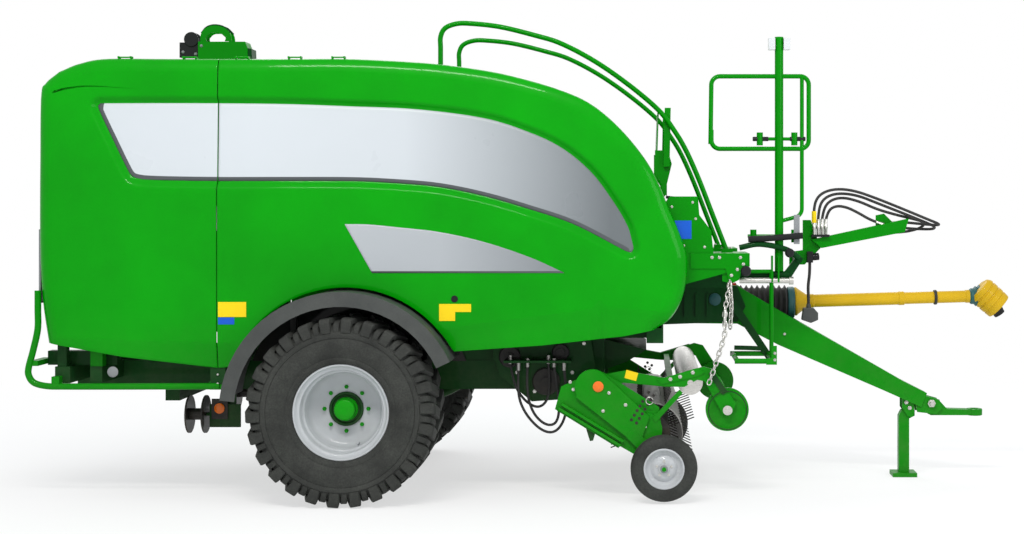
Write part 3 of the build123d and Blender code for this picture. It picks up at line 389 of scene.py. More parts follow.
def metal(name, colour, rough=0.35, streak=(1.0, 1.0, 8.0)):
    """Bare or plated steel with roughness streaked along one axis."""
    finish, tree, shader = new_material(name)
    lines = object_noise(tree, 40.0, 5.0, 0.6, streak)
    tone = ramp(tree, lines, [(0.3, shade(colour, 0.8)), (0.7, shade(colour, 1.1))])
    tree.links.new(tone, shader.inputs["Base Color"])
    tree.links.new(level(tree, lines, rough * 0.7, rough * 1.4), shader.inputs["Roughness"])
    shader.inputs["Metallic"].default_value = 1.0
    bump(tree, shader, lines, 0.05, 0.0005)
    return finish


tyre_rubber = rubber("tyre_rubber", (0.011, 0.012, 0.011), (0.048, 0.051, 0.045))
soft_rubber = rubber("soft_rubber", (0.010, 0.010, 0.011), (0.040, 0.038, 0.035), grain=160.0, depth=0.0006,
                     rough=0.6)
fender_plastic = rubber("fender_plastic", (0.036, 0.040, 0.039), (0.070, 0.075, 0.070), grain=300.0,
                        depth=0.0003, rough=0.55)
plated_steel = metal("plated_steel", (0.62, 0.61, 0.58), rough=0.3)
worn_steel = metal("worn_steel", (0.36, 0.35, 0.34), rough=0.42)
print("materials", len(bpy.data.materials))

# %% [markdown]
# Every solid that keeps its own shape gets one of these finishes. A line for each solid would be long, so
# one table gives the finish by the role it has on the machine, and a second names the few that wear another
# paint. In that second table the near-black green of the solids under and behind the body, and the black of
# the reel and the spools, are painted shade for the shadow they lie in.

# %% Finishes of the solids
FINISH_OF = {"panel_green": panel_green, "frame_green": frame_green, "dark_plastic": fender_plastic,
             "tyre": tyre_rubber, "rim_silver": rim_silver, "guard_yellow": guard_yellow,
             "black_rubber": soft_rubber, "dark_steel": black_paint_and_shade, "grey_steel": worn_steel,
             "gearbox_red": gearbox_red, "lamp_white": silver_paint, "film_plastic": silver_paint,
             "lens_grey": grey_paint, "ring_steel": grey_paint}
SLOT_OF = {row["node"]: row["material_slot"] for row in frame["record"]["subparts"]}


def dress(node_name, finish):
    """Gives a solid one finish."""
    mesh = nodes[node_name].data
    mesh.materials.clear()
    mesh.materials.append(finish)


# solids whose paint is another than the plain one of their slot; the near-black green and the black on the
# reel and spools are painted shade
PAINTED = (
    (panel_green, ("door_hinges",)),
    (frame_green, ("guard_post", "hitch_eye", "stand_leg", "press_roller", "gauge_arms", "drawbar")),
    (dark_green_and_shade, ("feeder", "chamber", "axle", "chassis", "spool_bracket", "table_mounts", "front_wall",
                  "front_bracket", "superstructure", "wrap_table")),
    (black_paint_and_shade, ("reel", "spool_left", "spool_right")),
    (plated_steel, ("crop_roller",)),
    (worn_steel, ("pickup_bands",)),
)
own_finish = {name: finish for finish, names in PAINTED for name in names}
for node_name in nodes:
    dress(node_name, own_finish.get(node_name, FINISH_OF[SLOT_OF[node_name]]))
print("dressed", len(nodes), "solids")

# %% [markdown]
# The side doors are what the eye lands on. Each is a moulded shell: a rounded rim that ends in a crisp
# crease, a face that is widest along a line which falls towards the nose, and one long recess with a silver
# band in it. It could be pushed into shape by hand from a subdivided box. Here it is worked out as a height
# over the side plane, because every point of a grid then knows its distance from the outline and from the
# recess, and those distances give how far it lies in. First come the outlines.

# %% Outlines of the body
SEAM_X = -0.847
TOP_Z = 2.942

# points are (x from the axle, z), rear to front
TOP_LINE = [
    (-1.912, 2.857), (-1.779, 2.910), (-1.600, TOP_Z), (-1.200, TOP_Z), (SEAM_X, TOP_Z), (-0.400, TOP_Z),
    (0.017, TOP_Z), (0.463, 2.920), (0.729, 2.893), (0.982, 2.854), (1.205, 2.801), (1.398, 2.742),
    (1.577, 2.668), (1.725, 2.564), (1.873, 2.415), (2.006, 2.238), (2.096, 2.059),
]
REAR_LINE = [(-1.979, 1.060), (-2.018, 1.340), (-2.036, 1.698), (-2.036, 2.267), (-2.032, 2.696),
             (-1.999, 2.783), (-1.912, 2.857)]
NOSE_LINE = [(2.039, 1.143), (2.148, 1.218), (2.223, 1.343), (2.256, 1.493), (2.260, 1.609), (2.243, 1.688),
             (2.196, 1.819), (2.137, 1.949), (2.096, 2.059)]
print("outlines", len(TOP_LINE) + len(REAR_LINE) + len(NOSE_LINE), "points")

# %% [markdown]
# An outline is given at a few points, and the real edge runs smoothly through them. A Bezier spline would
# need two handles at each point. A Catmull-Rom curve passes through the points and needs nothing else.

# %% Curves


def smooth_curve(points, steps=24):
    """A Catmull-Rom curve: between two points each piece is the cubic whose end slopes are half the chord of
    the points on either side."""
    p = np.array(points, float)
    p = np.vstack([2 * p[0] - p[1], p, 2 * p[-1] - p[-2]])
    t = np.linspace(0.0, 1.0, steps, endpoint=False)[:, None]
    a, b, c, d = (p[i:len(p) - 3 + i, None, :] for i in range(4))
    curve = 0.5 * (2 * b + (c - a) * t + (2 * a - 5 * b + 4 * c - d) * t ** 2
                   + (3 * b - a - 3 * c + d) * t ** 3)
    return np.vstack([curve.reshape(-1, p.shape[1]), p[-2]])


def along(curve, shares):
    """Points of a curve at shares of its length."""
    length = np.concatenate([[0.0], np.cumsum(np.linalg.norm(np.diff(curve, axis=0), axis=1))])
    at = np.asarray(shares) * length[-1]
    return np.stack([np.interp(at, length, curve[:, i]) for i in range(curve.shape[1])], axis=1)


def normals_left(curve):
    """Unit normals on the left of a flat curve's path, from the mean direction of its neighbours."""
    d = np.gradient(curve, axis=0)
    n = np.stack([-d[:, 1], d[:, 0]], axis=1)
    return n / np.linalg.norm(n, axis=1)[:, None]


TOP_CURVE = smooth_curve(TOP_LINE)
REAR_CURVE = smooth_curve(REAR_LINE)
NOSE_CURVE = smooth_curve(NOSE_LINE)
print("outline points", len(TOP_CURVE) + len(REAR_CURVE) + len(NOSE_CURVE))

# %% [markdown]
# The rim and the recess follow outlines, so each point of a grid has to know how far an outline is and
# whether the point lies inside it. Blender can answer that one point at a time. These two helpers go round
# the outline and take the whole grid as one array, which is far quicker.

# %% Distances


def distance_to(curve, x, z):
    """Shortest distance from points to a chain of straight pieces: project on each piece, clamp, take the
    least."""
    best = np.full(x.shape, np.inf)
    for (ax, az), (bx, bz) in zip(curve[:-1], curve[1:]):
        dx, dz = bx - ax, bz - az
        share = np.clip(((x - ax) * dx + (z - az) * dz) / max(dx * dx + dz * dz, 1e-12), 0.0, 1.0)
        best = np.minimum(best, np.hypot(x - ax - share * dx, z - az - share * dz))
    return best


def is_inside(curve, x, z):
    """Even-odd rule: a point is inside a closed outline if a ray along +X crosses it an odd number of
    times."""
    odd = np.zeros(x.shape, bool)
    for (ax, az), (bx, bz) in zip(curve, np.roll(curve, -1, axis=0)):
        spans = (az > z) != (bz > z)
        if az != bz:
            odd ^= spans & (x < ax + (z - az) / (bz - az) * (bx - ax))
    return odd


print("axle to top edge", round(float(distance_to(TOP_CURVE, np.zeros(1), np.full(1, HUB_Z))[0]), 3))

# %% [markdown]
# The silver band is one long blade from the rear door to the nose, and a second band below it is shorter.
# Each edge is a curve of its own, because the edges are smooth and the corners between them are tight.

# %% Outlines of the bands
BAND_TOP = [(-1.629, 2.646), (-1.200, 2.647), (-0.856, 2.646), (-0.400, 2.641), (0.030, 2.626),
            (0.473, 2.606), (0.916, 2.547), (1.213, 2.454), (1.431, 2.349), (1.623, 2.190), (1.768, 1.998),
            (1.861, 1.840), (1.896, 1.725)]
BAND_TIP = [(1.896, 1.725), (1.903, 1.680), (1.884, 1.660), (1.850, 1.668)]
BAND_LOW = [(1.850, 1.668), (1.801, 1.694), (1.504, 1.846), (1.213, 1.945), (0.916, 2.031), (0.618, 2.091),
            (0.327, 2.117), (0.030, 2.130), (-0.400, 2.131), (-0.856, 2.131), (-1.200, 2.136),
            (-1.340, 2.142)]
BAND_REAR = [(-1.340, 2.142), (-1.405, 2.158), (-1.440, 2.200), (-1.540, 2.400), (-1.640, 2.610),
             (-1.629, 2.646)]
LOW_BAND_TOP = [(-0.002, 1.846), (0.150, 1.844), (0.331, 1.827), (0.621, 1.794), (0.918, 1.728),
                (1.215, 1.629), (1.446, 1.526)]
LOW_BAND_LOW = [(0.179, 1.523), (0.800, 1.523), (1.446, 1.523)]

BAND_LOOP = np.vstack([smooth_curve(BAND_TOP, 8)[:-1], smooth_curve(BAND_TIP, 6)[:-1],
                       smooth_curve(BAND_LOW, 8)[:-1], smooth_curve(BAND_REAR, 6)[:-1]])
print("band outline", len(BAND_LOOP), "points")

# %% [markdown]
# The face leans in above its widest line, tucks under at the skirt, sinks into the recess and rolls over at
# the rim. Each is one amount taken off the width, so each can be tuned by itself. The recess is a few
# centimetres deep, and its wall is a soft ramp, dark above the band and bright below it. The second band is
# flush with the face.

# %% The face of a door
BODY_HALF = 1.200           # outermost face of the doors
RIM_DEPTH = 0.085           # width of the rounded rim
RIM_IN = 1.116              # where the rim meets the roof
RECESS_DEPTH = 0.034
RECESS_RAMP = 0.050
WIDEST_LINE = [(-2.10, 2.10), (-0.847, 2.04), (0.03, 2.01), (0.60, 1.95), (1.20, 1.76), (1.676, 1.36),
               (2.40, 1.20)]
LEAN = 0.040                # how far the face leans in for each metre above its widest line
SKIRT_LINE = [(-2.10, 1.10), (-0.847, 1.06), (0.0, 1.10), (0.760, 1.174), (1.485, 1.266), (1.617, 1.286),
              (1.676, 1.345), (1.72, 1.30), (2.30, 1.25)]
SKIRT_TUCK = 0.19
BODY_EDGE = np.vstack([REAR_CURVE[:-1], TOP_CURVE[:-1], NOSE_CURVE[::-1]])[::4]


def smoothstep(t):
    """3t^2 - 2t^3 between 0 and 1."""
    t = np.clip(t, 0.0, 1.0)
    return t * t * (3 - 2 * t)


def half_width(x, z):
    """How far out the body's side lies at (x, z): the widest face, less what the lean, the skirt, the recess
    and the rounded rim take off. The rim is a part line and a part quarter ellipse of the distance from the
    outline."""
    widest = np.interp(x, *np.array(WIDEST_LINE).T)
    skirt = np.interp(x, *np.array(SKIRT_LINE).T)
    lean = LEAN * np.maximum(z - widest, 0) ** 1.15 + 0.010 * np.maximum(widest - z, 0) ** 2
    tuck = SKIRT_TUCK * np.maximum(skirt - z, 0)
    outside = distance_to(np.vstack([BAND_LOOP, BAND_LOOP[:1]]), x, z)
    outside = np.where(is_inside(BAND_LOOP, x, z), 0.0, outside)
    recess = RECESS_DEPTH * (1 - smoothstep(outside / RECESS_RAMP))
    t = np.clip(1 - distance_to(BODY_EDGE, x, z) / RIM_DEPTH, 0, 1)
    face = BODY_HALF - lean - tuck - recess
    round_off = 0.15 * t + 0.85 * (1 - np.sqrt(np.maximum(1 - t * t, 0)))
    return face - (face - RIM_IN) * round_off


def face_at(x, z):
    """How far out the door's face lies at one point."""
    return float(half_width(np.array([x]), np.array([z]))[0])


print("recess", round(face_at(0.0, 2.3), 4), "face", round(face_at(0.0, 1.8), 4))

# %% [markdown]
# A grid of points becomes a mesh with a quad between each four neighbours. A primitive grid could be bent
# into place, but with the arrays already worked out, from_pydata takes points and faces as they are, and
# the object stays at the origin.

# %% Meshes from arrays


def grid_faces(index):
    """Quads between the neighbours of a grid of point numbers."""
    return np.stack([index[:-1, :-1], index[1:, :-1], index[1:, 1:], index[:-1, 1:]], axis=-1).reshape(-1, 4)


def mesh_piece(name, points, faces, finish, body, smooth=True):
    """A piece from arrays of points and of quads or triangles, dressed and riding on a body."""
    mesh = bpy.data.meshes.new(name)
    mesh.from_pydata(np.asarray(points).tolist(), [], [list(map(int, face)) for face in faces])
    mesh.polygons.foreach_set("use_smooth", [smooth] * len(mesh.polygons))
    mesh.materials.append(finish)
    mesh.update()
    piece = bpy.data.objects.new(name, mesh)
    bpy.context.scene.collection.objects.link(piece)
    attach(piece, body)
    return piece


print("a grid of 3 by 3 points has", len(grid_faces(np.arange(9).reshape(3, 3))), "quads")

# %% [markdown]
# A door could be one grid squeezed to its outline, but then the crease would cut across the faces. So its
# grid has two parts. The inner part is a Coons patch: the mean of the two ways to draw straight lines
# between opposite sides, less the one through the corners. The rim is a strip from the patch's edge out to
# the outline, so that the crease lies exactly on a row of points and stays crisp.

# %% Coons patch


def spread(count, squeeze):
    """Shares from 0 to 1, closer together at both ends: t - squeeze sin(2 pi t) / (2 pi)."""
    t = np.linspace(0.0, 1.0, count)
    return t - squeeze * np.sin(2 * np.pi * t) / (2 * np.pi)


def at_x(curve, x):
    """Height of a curve that runs along x."""
    return np.interp(x, curve[:, 0], curve[:, 1])


def coons(low, high, rear, front):
    """Points of the patch between four sides: low and high run along u, rear and front along v."""
    u = np.linspace(0.0, 1.0, len(low))[:, None, None]
    v = np.linspace(0.0, 1.0, len(rear))[None, :, None]
    across = (1 - v) * low[:, None] + v * high[:, None]
    upward = (1 - u) * rear[None] + u * front[None]
    corners = (1 - u) * ((1 - v) * low[0] + v * high[0]) + u * ((1 - v) * low[-1] + v * high[-1])
    return across + upward - corners


print("first step of a squeezed row", round(float(spread(150, 0.35)[1] * 149), 3), "of an even one")

# %% [markdown]
# The lower edge is straight pieces with the wheel arch between them. The other sides are the outline moved
# in by the rim's width, and the strip joins the two. The doors of one side meet at a narrow seam.

# %% Grid of a door
SEAM_GAP = 0.006
ARCH_R = 0.807
RIM_ROWS = 9


def low_edge(x):
    """Lower edge of the doors along x: straight pieces with the wheel arch between them."""
    arch = np.sqrt(np.maximum(ARCH_R ** 2 - x ** 2, 0)) + HUB_Z
    line = np.interp(x, [-1.979, -1.483, SEAM_X, -0.760, 0.706, 1.298, 1.837, 2.039],
                     [1.060, 0.968, 0.892, 0.900, 1.002, 1.042, 1.103, 1.143])
    return np.where(np.abs(x) < ARCH_R * 0.93, np.maximum(arch, line), line)


def door_points(edge_side, edge_top, x_start, x_end, seam_first, columns, rows):
    """Grid points and numbers of a door: an inner patch and a rim strip around it."""
    u = np.linspace(0.0, 1.0, columns)
    v = spread(rows, 0.35)
    top = np.stack([x_start[1] + u * (x_end[1] - x_start[1])] * 2, axis=1)
    top[:, 1] = at_x(edge_top, top[:, 0])
    side = along(edge_side, v)
    path = np.vstack([top[:-1], side[::-1]]) if seam_first else np.vstack([side[:-1], top])
    inner = path - normals_left(path) * RIM_DEPTH
    inner[0 if seam_first else -1] = path[0 if seam_first else -1] - np.array([0.0, RIM_DEPTH])
    if seam_first:
        top_in, side_in = inner[:columns], inner[columns - 1:][::-1]
    else:
        side_in, top_in = inner[:rows], inner[rows - 1:]
    low = np.stack([x_start[0] + u * (x_end[0] - x_start[0])] * 2, axis=1)
    if seam_first:
        low[:, 0] = x_start[0] + u * (side_in[0, 0] - x_start[0])
    else:
        low[:, 0] = side_in[0, 0] + u * (x_end[0] - side_in[0, 0])
    low[:, 1] = low_edge(low[:, 0])
    side_in[0] = low[-1] if seam_first else low[0]
    seam_x = low[0, 0] if seam_first else low[-1, 0]
    corner = (low[0], top_in[0]) if seam_first else (low[-1], top_in[-1])
    seam = np.stack([np.full(rows, seam_x), corner[0][1] + v * (corner[1][1] - corner[0][1])], axis=1)
    rear, front = (seam, side_in) if seam_first else (side_in, seam)
    patch = coons(low, top_in, rear, front)
    index = np.arange(columns * rows).reshape(columns, rows)
    border = np.concatenate([index[:-1, -1], index[-1, ::-1]]) if seam_first else \
        np.concatenate([index[0, :-1], index[:, -1]])
    inner = patch.reshape(-1, 2)[border]
    w = np.linspace(0.0, 1.0, RIM_ROWS + 1)[1:, None, None] ** 0.75
    strip = inner[None] * (1 - w) + path[None] * w
    strip_index = columns * rows + np.arange(RIM_ROWS * len(border)).reshape(RIM_ROWS, -1)
    strip_index = np.vstack([border[None], strip_index])
    flat = np.vstack([patch.reshape(-1, 2), strip.reshape(-1, 2)])
    faces = np.vstack([grid_faces(index), grid_faces(strip_index)])
    return flat, faces


front_flat, front_faces = door_points(NOSE_CURVE, TOP_CURVE, (SEAM_X + SEAM_GAP / 2, SEAM_X + SEAM_GAP / 2),
                                      (2.039, 2.096), True, 230, 150)
rear_flat, rear_faces = door_points(REAR_CURVE, TOP_CURVE, (-1.979, -1.912),
                                    (SEAM_X - SEAM_GAP / 2, SEAM_X - SEAM_GAP / 2), False, 100, 150)
print("door points", len(front_flat), len(rear_flat))

# %% [markdown]
# The left doors are the right ones with the width negated and the faces turned round, because a mirror or a
# negative scale can turn a shell inside out. Solidify gives the sheet its wall, and weighted normals keep
# the broad face calm beside the narrow rim.

# %% Side doors
SHEET = 0.008


def add_door(name, flat, faces, sign, body, node):
    """A door's shell on one side: the height over the side plane, faces turned outwards, and a wall."""
    out = half_width(flat[:, 0], flat[:, 1])
    points = np.stack([flat[:, 0] + AXLE_X, sign * out, flat[:, 1]], axis=1)
    first, second = (points[faces[:, i]] - points[faces[:, 0]] for i in (1, 2))
    looks_out = np.cross(first, second)[:, 1] * sign > 0
    outward = np.where(looks_out[:, None], faces, faces[:, ::-1])
    piece = mesh_piece(name, points, outward, panel_green, body)
    wall = piece.modifiers.new("wall", "SOLIDIFY")
    wall.thickness = SHEET
    wall.offset = -1.0
    even = piece.modifiers.new("even", "WEIGHTED_NORMAL")
    even.keep_sharp = True
    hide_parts(node)


for side_name, sign in (("right", -1), ("left", 1)):
    add_door("front_shell_" + side_name, front_flat, front_faces, sign, "front_door_" + side_name,
             "front_door_" + side_name)
    add_door("rear_shell_" + side_name, rear_flat, rear_faces, sign, "rear_door_" + side_name,
             "rear_door_" + side_name)
print("doors", SHEET, "m thick")

# %% [markdown]
# Each silver band could be a second material on the door, but its edge would follow the steps of the door's
# grid. So it is a thin skin of its own, with a grid that fits between the band's edges. The long band is
# split at the seam, so that each half rides with its door.

# %% Grids of the bands
BAND_ROWS = 26


def cut_at(curve, x_from, x_to):
    """The part of a curve that runs along x between two values, ends included."""
    inner = curve[(curve[:, 0] > x_from + 1e-6) & (curve[:, 0] < x_to - 1e-6)]
    ends = [[x, at_x(curve, x)] for x in (x_from, x_to)]
    return np.vstack([ends[:1], inner, ends[1:]])


def band_patch(top, low, rear, front, columns):
    """Grid of a band between its top and low edges; rear and front are its end curves, from low to top."""
    u = np.linspace(0.0, 1.0, columns)
    v = np.linspace(0.0, 1.0, BAND_ROWS)
    return coons(along(low, u), along(top, u), along(rear, v), along(front, v))


top_edge = smooth_curve(BAND_TOP, 8)
low_edge_curve = smooth_curve(BAND_LOW[::-1], 8)
rear_end = smooth_curve(BAND_REAR, 8)
tip_end = smooth_curve(BAND_TIP[::-1], 6)
seam_rear, seam_front = SEAM_X - SEAM_GAP / 2 - 0.001, SEAM_X + SEAM_GAP / 2 + 0.001


def seam_line(x):
    """The band's end at the seam, from its low edge to its top edge."""
    return np.array([[x, at_x(low_edge_curve, x)], [x, at_x(top_edge, x)]])


rear_top = cut_at(top_edge, top_edge[0, 0], seam_rear)
rear_low = cut_at(low_edge_curve, low_edge_curve[0, 0], seam_rear)
front_top = cut_at(top_edge, seam_front, top_edge[-1, 0])
front_low = cut_at(low_edge_curve, seam_front, low_edge_curve[-1, 0])
rear_band = band_patch(rear_top, rear_low, rear_end, seam_line(seam_rear), 60)
front_band = band_patch(front_top, front_low, seam_line(seam_front), tip_end, 190)
low_top = smooth_curve(LOW_BAND_TOP, 8)
low_low = np.array(LOW_BAND_LOW)
low_start = np.array([LOW_BAND_LOW[0], LOW_BAND_TOP[0]])
low_front = np.array([LOW_BAND_LOW[-1], LOW_BAND_TOP[-1]])
low_band = band_patch(low_top, low_low, low_start, low_front, 110)
print("bands", rear_band.shape, front_band.shape, low_band.shape)

# %% [markdown]
# The silver falls off towards the nose, and a dark border runs along one edge. The skins carry a texture
# coordinate for it: first the distance in metres from the border's edge, then the distance along the
# machine. One material draws both from that, sharp at any size, where a picture would blur.

# %% Finish of the bands
BAND_BORDER = (0.075, 0.082, 0.088)


def band_finish(name, border, bright, dark, x_bright, x_dark):
    """Silver paint that darkens along the machine, with a dark border of a given width."""
    finish, tree, shader = new_material(name)
    at = tree.nodes.new("ShaderNodeUVMap")
    at.uv_map = "from_edge"
    split = tree.nodes.new("ShaderNodeSeparateXYZ")
    tree.links.new(at.outputs[0], split.inputs[0])
    far = tree.nodes.new("ShaderNodeMapRange")
    far.inputs["From Min"].default_value = x_bright
    far.inputs["From Max"].default_value = x_dark
    tree.links.new(split.outputs["Y"], far.inputs["Value"])
    grain = object_noise(tree, 3.0, 3.0)
    silver = ramp(tree, far.outputs["Result"], [(0.0, bright), (0.42, shade(bright, 0.92)), (1.0, dark)])
    edge = tree.nodes.new("ShaderNodeMapRange")
    edge.inputs["From Min"].default_value = border
    edge.inputs["From Max"].default_value = border + 0.002
    tree.links.new(split.outputs["X"], edge.inputs["Value"])
    tree.links.new(mixed(tree, edge.outputs["Result"], BAND_BORDER, silver), shader.inputs["Base Color"])
    tree.links.new(level(tree, grain, 0.26, 0.36), shader.inputs["Roughness"])
    shader.inputs["Specular IOR Level"].default_value = 0.3
    bump(tree, shader, object_noise(tree, PEEL_SCALE, 2.0), 0.02, 0.0004)
    return finish


band_silver = band_finish("band_silver", 0.026, (0.56, 0.595, 0.63), (0.13, 0.145, 0.155), -0.6, 1.75)
low_silver = band_finish("low_silver", 0.012, (0.40, 0.425, 0.45), (0.17, 0.185, 0.20), 0.0, 1.5)
print("band finishes", band_silver.name, low_silver.name)

# %% [markdown]
# A skin takes its height from the door's own face, a little further out, so it lies on the door wherever
# that bends. Solidify turns it into a thin sheet.

# %% Silver bands
BAND_LIFT = 0.0022           # a band or a plate lies this far off the door
BAND_SHEET = 0.0016


def add_band(name, patch, sign, body, finish, borders):
    """A band's skin on one side, a little above the door; borders are the curves its dark edge follows."""
    x, z = patch[..., 0].ravel(), patch[..., 1].ravel()
    out = half_width(x, z) + BAND_LIFT
    points = np.stack([x + AXLE_X, sign * out, z], axis=1)
    index = np.arange(len(points)).reshape(patch.shape[:2])
    faces = grid_faces(index)
    piece = mesh_piece(name, points, faces if sign < 0 else faces[:, ::-1], finish, body)
    edge = np.min([distance_to(curve, x, z) for curve in borders], axis=0)
    layer = piece.data.uv_layers.new(name="from_edge")
    corner = np.empty(len(piece.data.loops), int)
    piece.data.loops.foreach_get("vertex_index", corner)
    layer.data.foreach_set("uv", np.stack([edge[corner], x[corner]], axis=1).ravel())
    wall = piece.modifiers.new("wall", "SOLIDIFY")
    wall.thickness = BAND_SHEET
    wall.offset = -1.0


for side_name, sign in (("right", -1), ("left", 1)):
    add_band("band_rear_" + side_name, rear_band, sign, "rear_door_" + side_name, band_silver,
             [low_edge_curve, rear_end])
    add_band("band_front_" + side_name, front_band, sign, "front_door_" + side_name, band_silver,
             [low_edge_curve])
    add_band("band_low_" + side_name, low_band, sign, "front_door_" + side_name, low_silver, [low_low])
print("bands lie", BAND_LIFT, "m off the doors")

# %% [markdown]
# Much of the machine is round. The Screw modifier or Spin could turn a section, but a ring times a section
# gives the whole skin as arrays at once, and the section's signed area tells which way its faces look.

# %% Turned skins


def turned(loop, base, axis, turns):
    """Skin of a loop of (radius, distance along the axis) turned about an axis through base. The loop's
    signed area tells which way it runs, so the faces always look outwards. A loop that starts on the axis
    isn't closed along it."""
    loop = np.asarray(loop, float)
    axis = np.asarray(axis, float) / np.linalg.norm(axis)
    side = np.cross(axis, (0.0, 0.0, 1.0) if abs(axis[2]) < 0.9 else (1.0, 0.0, 0.0))
    side /= np.linalg.norm(side)
    angle = np.linspace(0.0, 2 * np.pi, turns, endpoint=False)[:, None]
    ring = np.cos(angle) * side + np.sin(angle) * np.cross(axis, side)
    points = np.asarray(base) + ring[:, None] * loop[None, :, :1] + axis * loop[None, :, 1:]
    index = np.arange(turns * len(loop)).reshape(turns, len(loop))
    index = np.vstack([index, index[:1]])
    if loop[0, 0] > 0:
        index = np.hstack([index, index[:, :1]])
    r, w = loop.T
    area = np.sum(r * np.roll(w, -1) - np.roll(r, -1) * w)
    faces = grid_faces(index)
    return points.reshape(-1, 3), faces if area > 0 else faces[:, ::-1]


def joined(parts):
    """One set of points and faces from several, and for each face the number of the part it came from."""
    points, faces, owner, start = [], [], [], 0
    for i, (p, f) in enumerate(parts):
        points.append(p)
        faces.append(np.asarray(f) + start)
        owner.append(np.full(len(f), i))
        start += len(p)
    return np.vstack(points), np.vstack(faces), np.concatenate(owner)


print("a cup in eight steps has", len(turned([(0, 0), (1, 0), (1, 1)], (0, 0, 0), (0, 1, 0), 8)[0]), "points")

# %% [markdown]
# The tread is two staggered rows of blocks. In each row a tall block alternates with a low one, and both
# wrap over the shoulder. A bump map would leave the tyre's outline smooth, and an array bent by a curve
# would stretch the blocks. Every point is given by its angle about the hub, its radius and its distance
# from the tyre's middle instead, so the tread keeps exactly to the tyre's outer circle.

# %% Blocks of the tread
# crest of a block, from the middle of the tread over the shoulder: (distance from the middle, radius)
TALL_BLOCK = [(0.012, 0.6208), (0.080, 0.6208), (0.160, 0.6208), (0.235, 0.6206), (0.258, 0.6185),
              (0.270, 0.6110), (0.2765, 0.5970), (0.2790, 0.5700), (0.2795, 0.5400), (0.2785, 0.5245)]
LOW_BLOCK = [(0.070, 0.6050), (0.120, 0.6045), (0.180, 0.6020), (0.226, 0.5970), (0.246, 0.5900),
             (0.258, 0.5780), (0.2650, 0.5620), (0.2690, 0.5460), (0.2700, 0.5340), (0.2690, 0.5245)]
TALL_HALF, LOW_HALF = 0.036, 0.022
BLOCK_LEAN = 0.24           # how far a block runs round the tyre for each metre it runs outwards
BLOCK_COUNT = 26            # tall blocks on each side


def blocks(crest, half, angles, sign, cy):
    """The blocks of one kind on one side of a tyre. Across a block the section is a low trapeze with bevelled
    edges: its points go round the tyre by (offset / radius), and run from inside the carcass up to the
    crest."""
    crest = smooth_curve(crest, 3)
    w, r = crest[:, 0], crest[:, 1]
    sunk_w, sunk_r = np.minimum(w, 0.245), np.minimum(r - 0.030, 0.585)
    across = np.array([-half - 0.004, -half, -half + 0.005, half - 0.005, half, half + 0.004])
    sink = np.array([1.0, 0.16, 0.0, 0.0, 0.16, 1.0])
    radius = r[:, None] + sink[None] * (sunk_r - r)[:, None]
    width = w[:, None] + sink[None] * (sunk_w - w)[:, None]
    turn = (across[None] + BLOCK_LEAN * (w - 0.15)[:, None]) / 0.60
    rows, cols = radius.shape
    theta = np.asarray(angles)[:, None, None] + turn[None]
    points = np.stack([AXLE_X + radius[None] * np.cos(theta), cy + sign * np.broadcast_to(width, theta.shape),
                       HUB_Z + radius[None] * np.sin(theta)], axis=-1)
    index = np.arange(rows * cols).reshape(rows, cols)
    skin = grid_faces(index)
    under = np.stack([index[:-1, 0], index[:-1, -1], index[1:, -1], index[1:, 0]], axis=-1)
    ends = np.array([[index[0, 0], index[0, 1], index[0, 4], index[0, 5]],
                     [index[0, 1], index[0, 2], index[0, 3], index[0, 4]],
                     [index[-1, 5], index[-1, 4], index[-1, 1], index[-1, 0]],
                     [index[-1, 4], index[-1, 3], index[-1, 2], index[-1, 1]]])
    one = np.vstack([skin, under, ends])
    faces = (np.arange(len(angles)) * rows * cols)[:, None, None] + one[None]
    faces = faces.reshape(-1, 4)
    return points.reshape(-1, 3), faces if sign > 0 else faces[:, ::-1]


print("tread", 4 * BLOCK_COUNT, "blocks on each tyre")

# %% [markdown]
# A tyre is a turned carcass with its blocks, in one piece. The blocks start inside the carcass, so nothing
# has to be cut or joined, and only edges that turn sharply are kept crisp.

# %% Tyres
TYRE_TURNS = 208
TYRE_HALF = 0.280
WHEEL_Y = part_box("tyre_left")[0].y + TYRE_HALF
# carcass, from the bead over the sidewall to the middle of the tread: (radius, distance from the middle)
CARCASS = [(0.300, 0.206), (0.312, 0.226), (0.318, 0.243), (0.330, 0.2535), (0.352, 0.2600), (0.358, 0.2585),
           (0.366, 0.2640), (0.400, 0.2735), (0.440, 0.2785), (0.472, 0.2760), (0.484, 0.2735),
           (0.4850, 0.2705), (0.4875, 0.2745), (0.500, 0.2795), (0.516, 0.2785), (0.520, 0.2720),
           (0.532, 0.2630), (0.556, 0.2480), (0.572, 0.2300), (0.580, 0.2000), (0.584, 0.1200), (0.585, 0.0)]
SHARP_BLOCK = 35            # an edge that turns by more degrees than this stays crisp


def add_tyre(side_name, sign):
    """A tyre: carcass and four rows of blocks, in one piece."""
    cy = sign * WHEEL_Y
    half = np.array(CARCASS)
    parts = [turned(np.vstack([half, half[-2::-1] * [1, -1]]), (AXLE_X, cy, HUB_Z), (0, 1, 0), TYRE_TURNS)]
    pitch = 2 * math.pi / BLOCK_COUNT
    for way in (-1, 1):
        start = pitch * (np.arange(BLOCK_COUNT) + (0.25 if way > 0 else 0.0))
        parts.append(blocks(TALL_BLOCK, TALL_HALF, start, way, cy))
        parts.append(blocks(LOW_BLOCK, LOW_HALF, start + pitch / 2, way, cy))
    points, faces, _ = joined(parts)
    piece = mesh_piece("tread_" + side_name, points, faces, tyre_rubber, "wheel_" + side_name)
    piece.data.set_sharp_from_angle(angle=math.radians(SHARP_BLOCK))
    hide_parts("tyre_" + side_name)
    return piece


for side_name, sign in (("right", -1), ("left", 1)):
    tyre = add_tyre(side_name, sign)
    print(tyre.name, len(tyre.data.polygons), "faces")

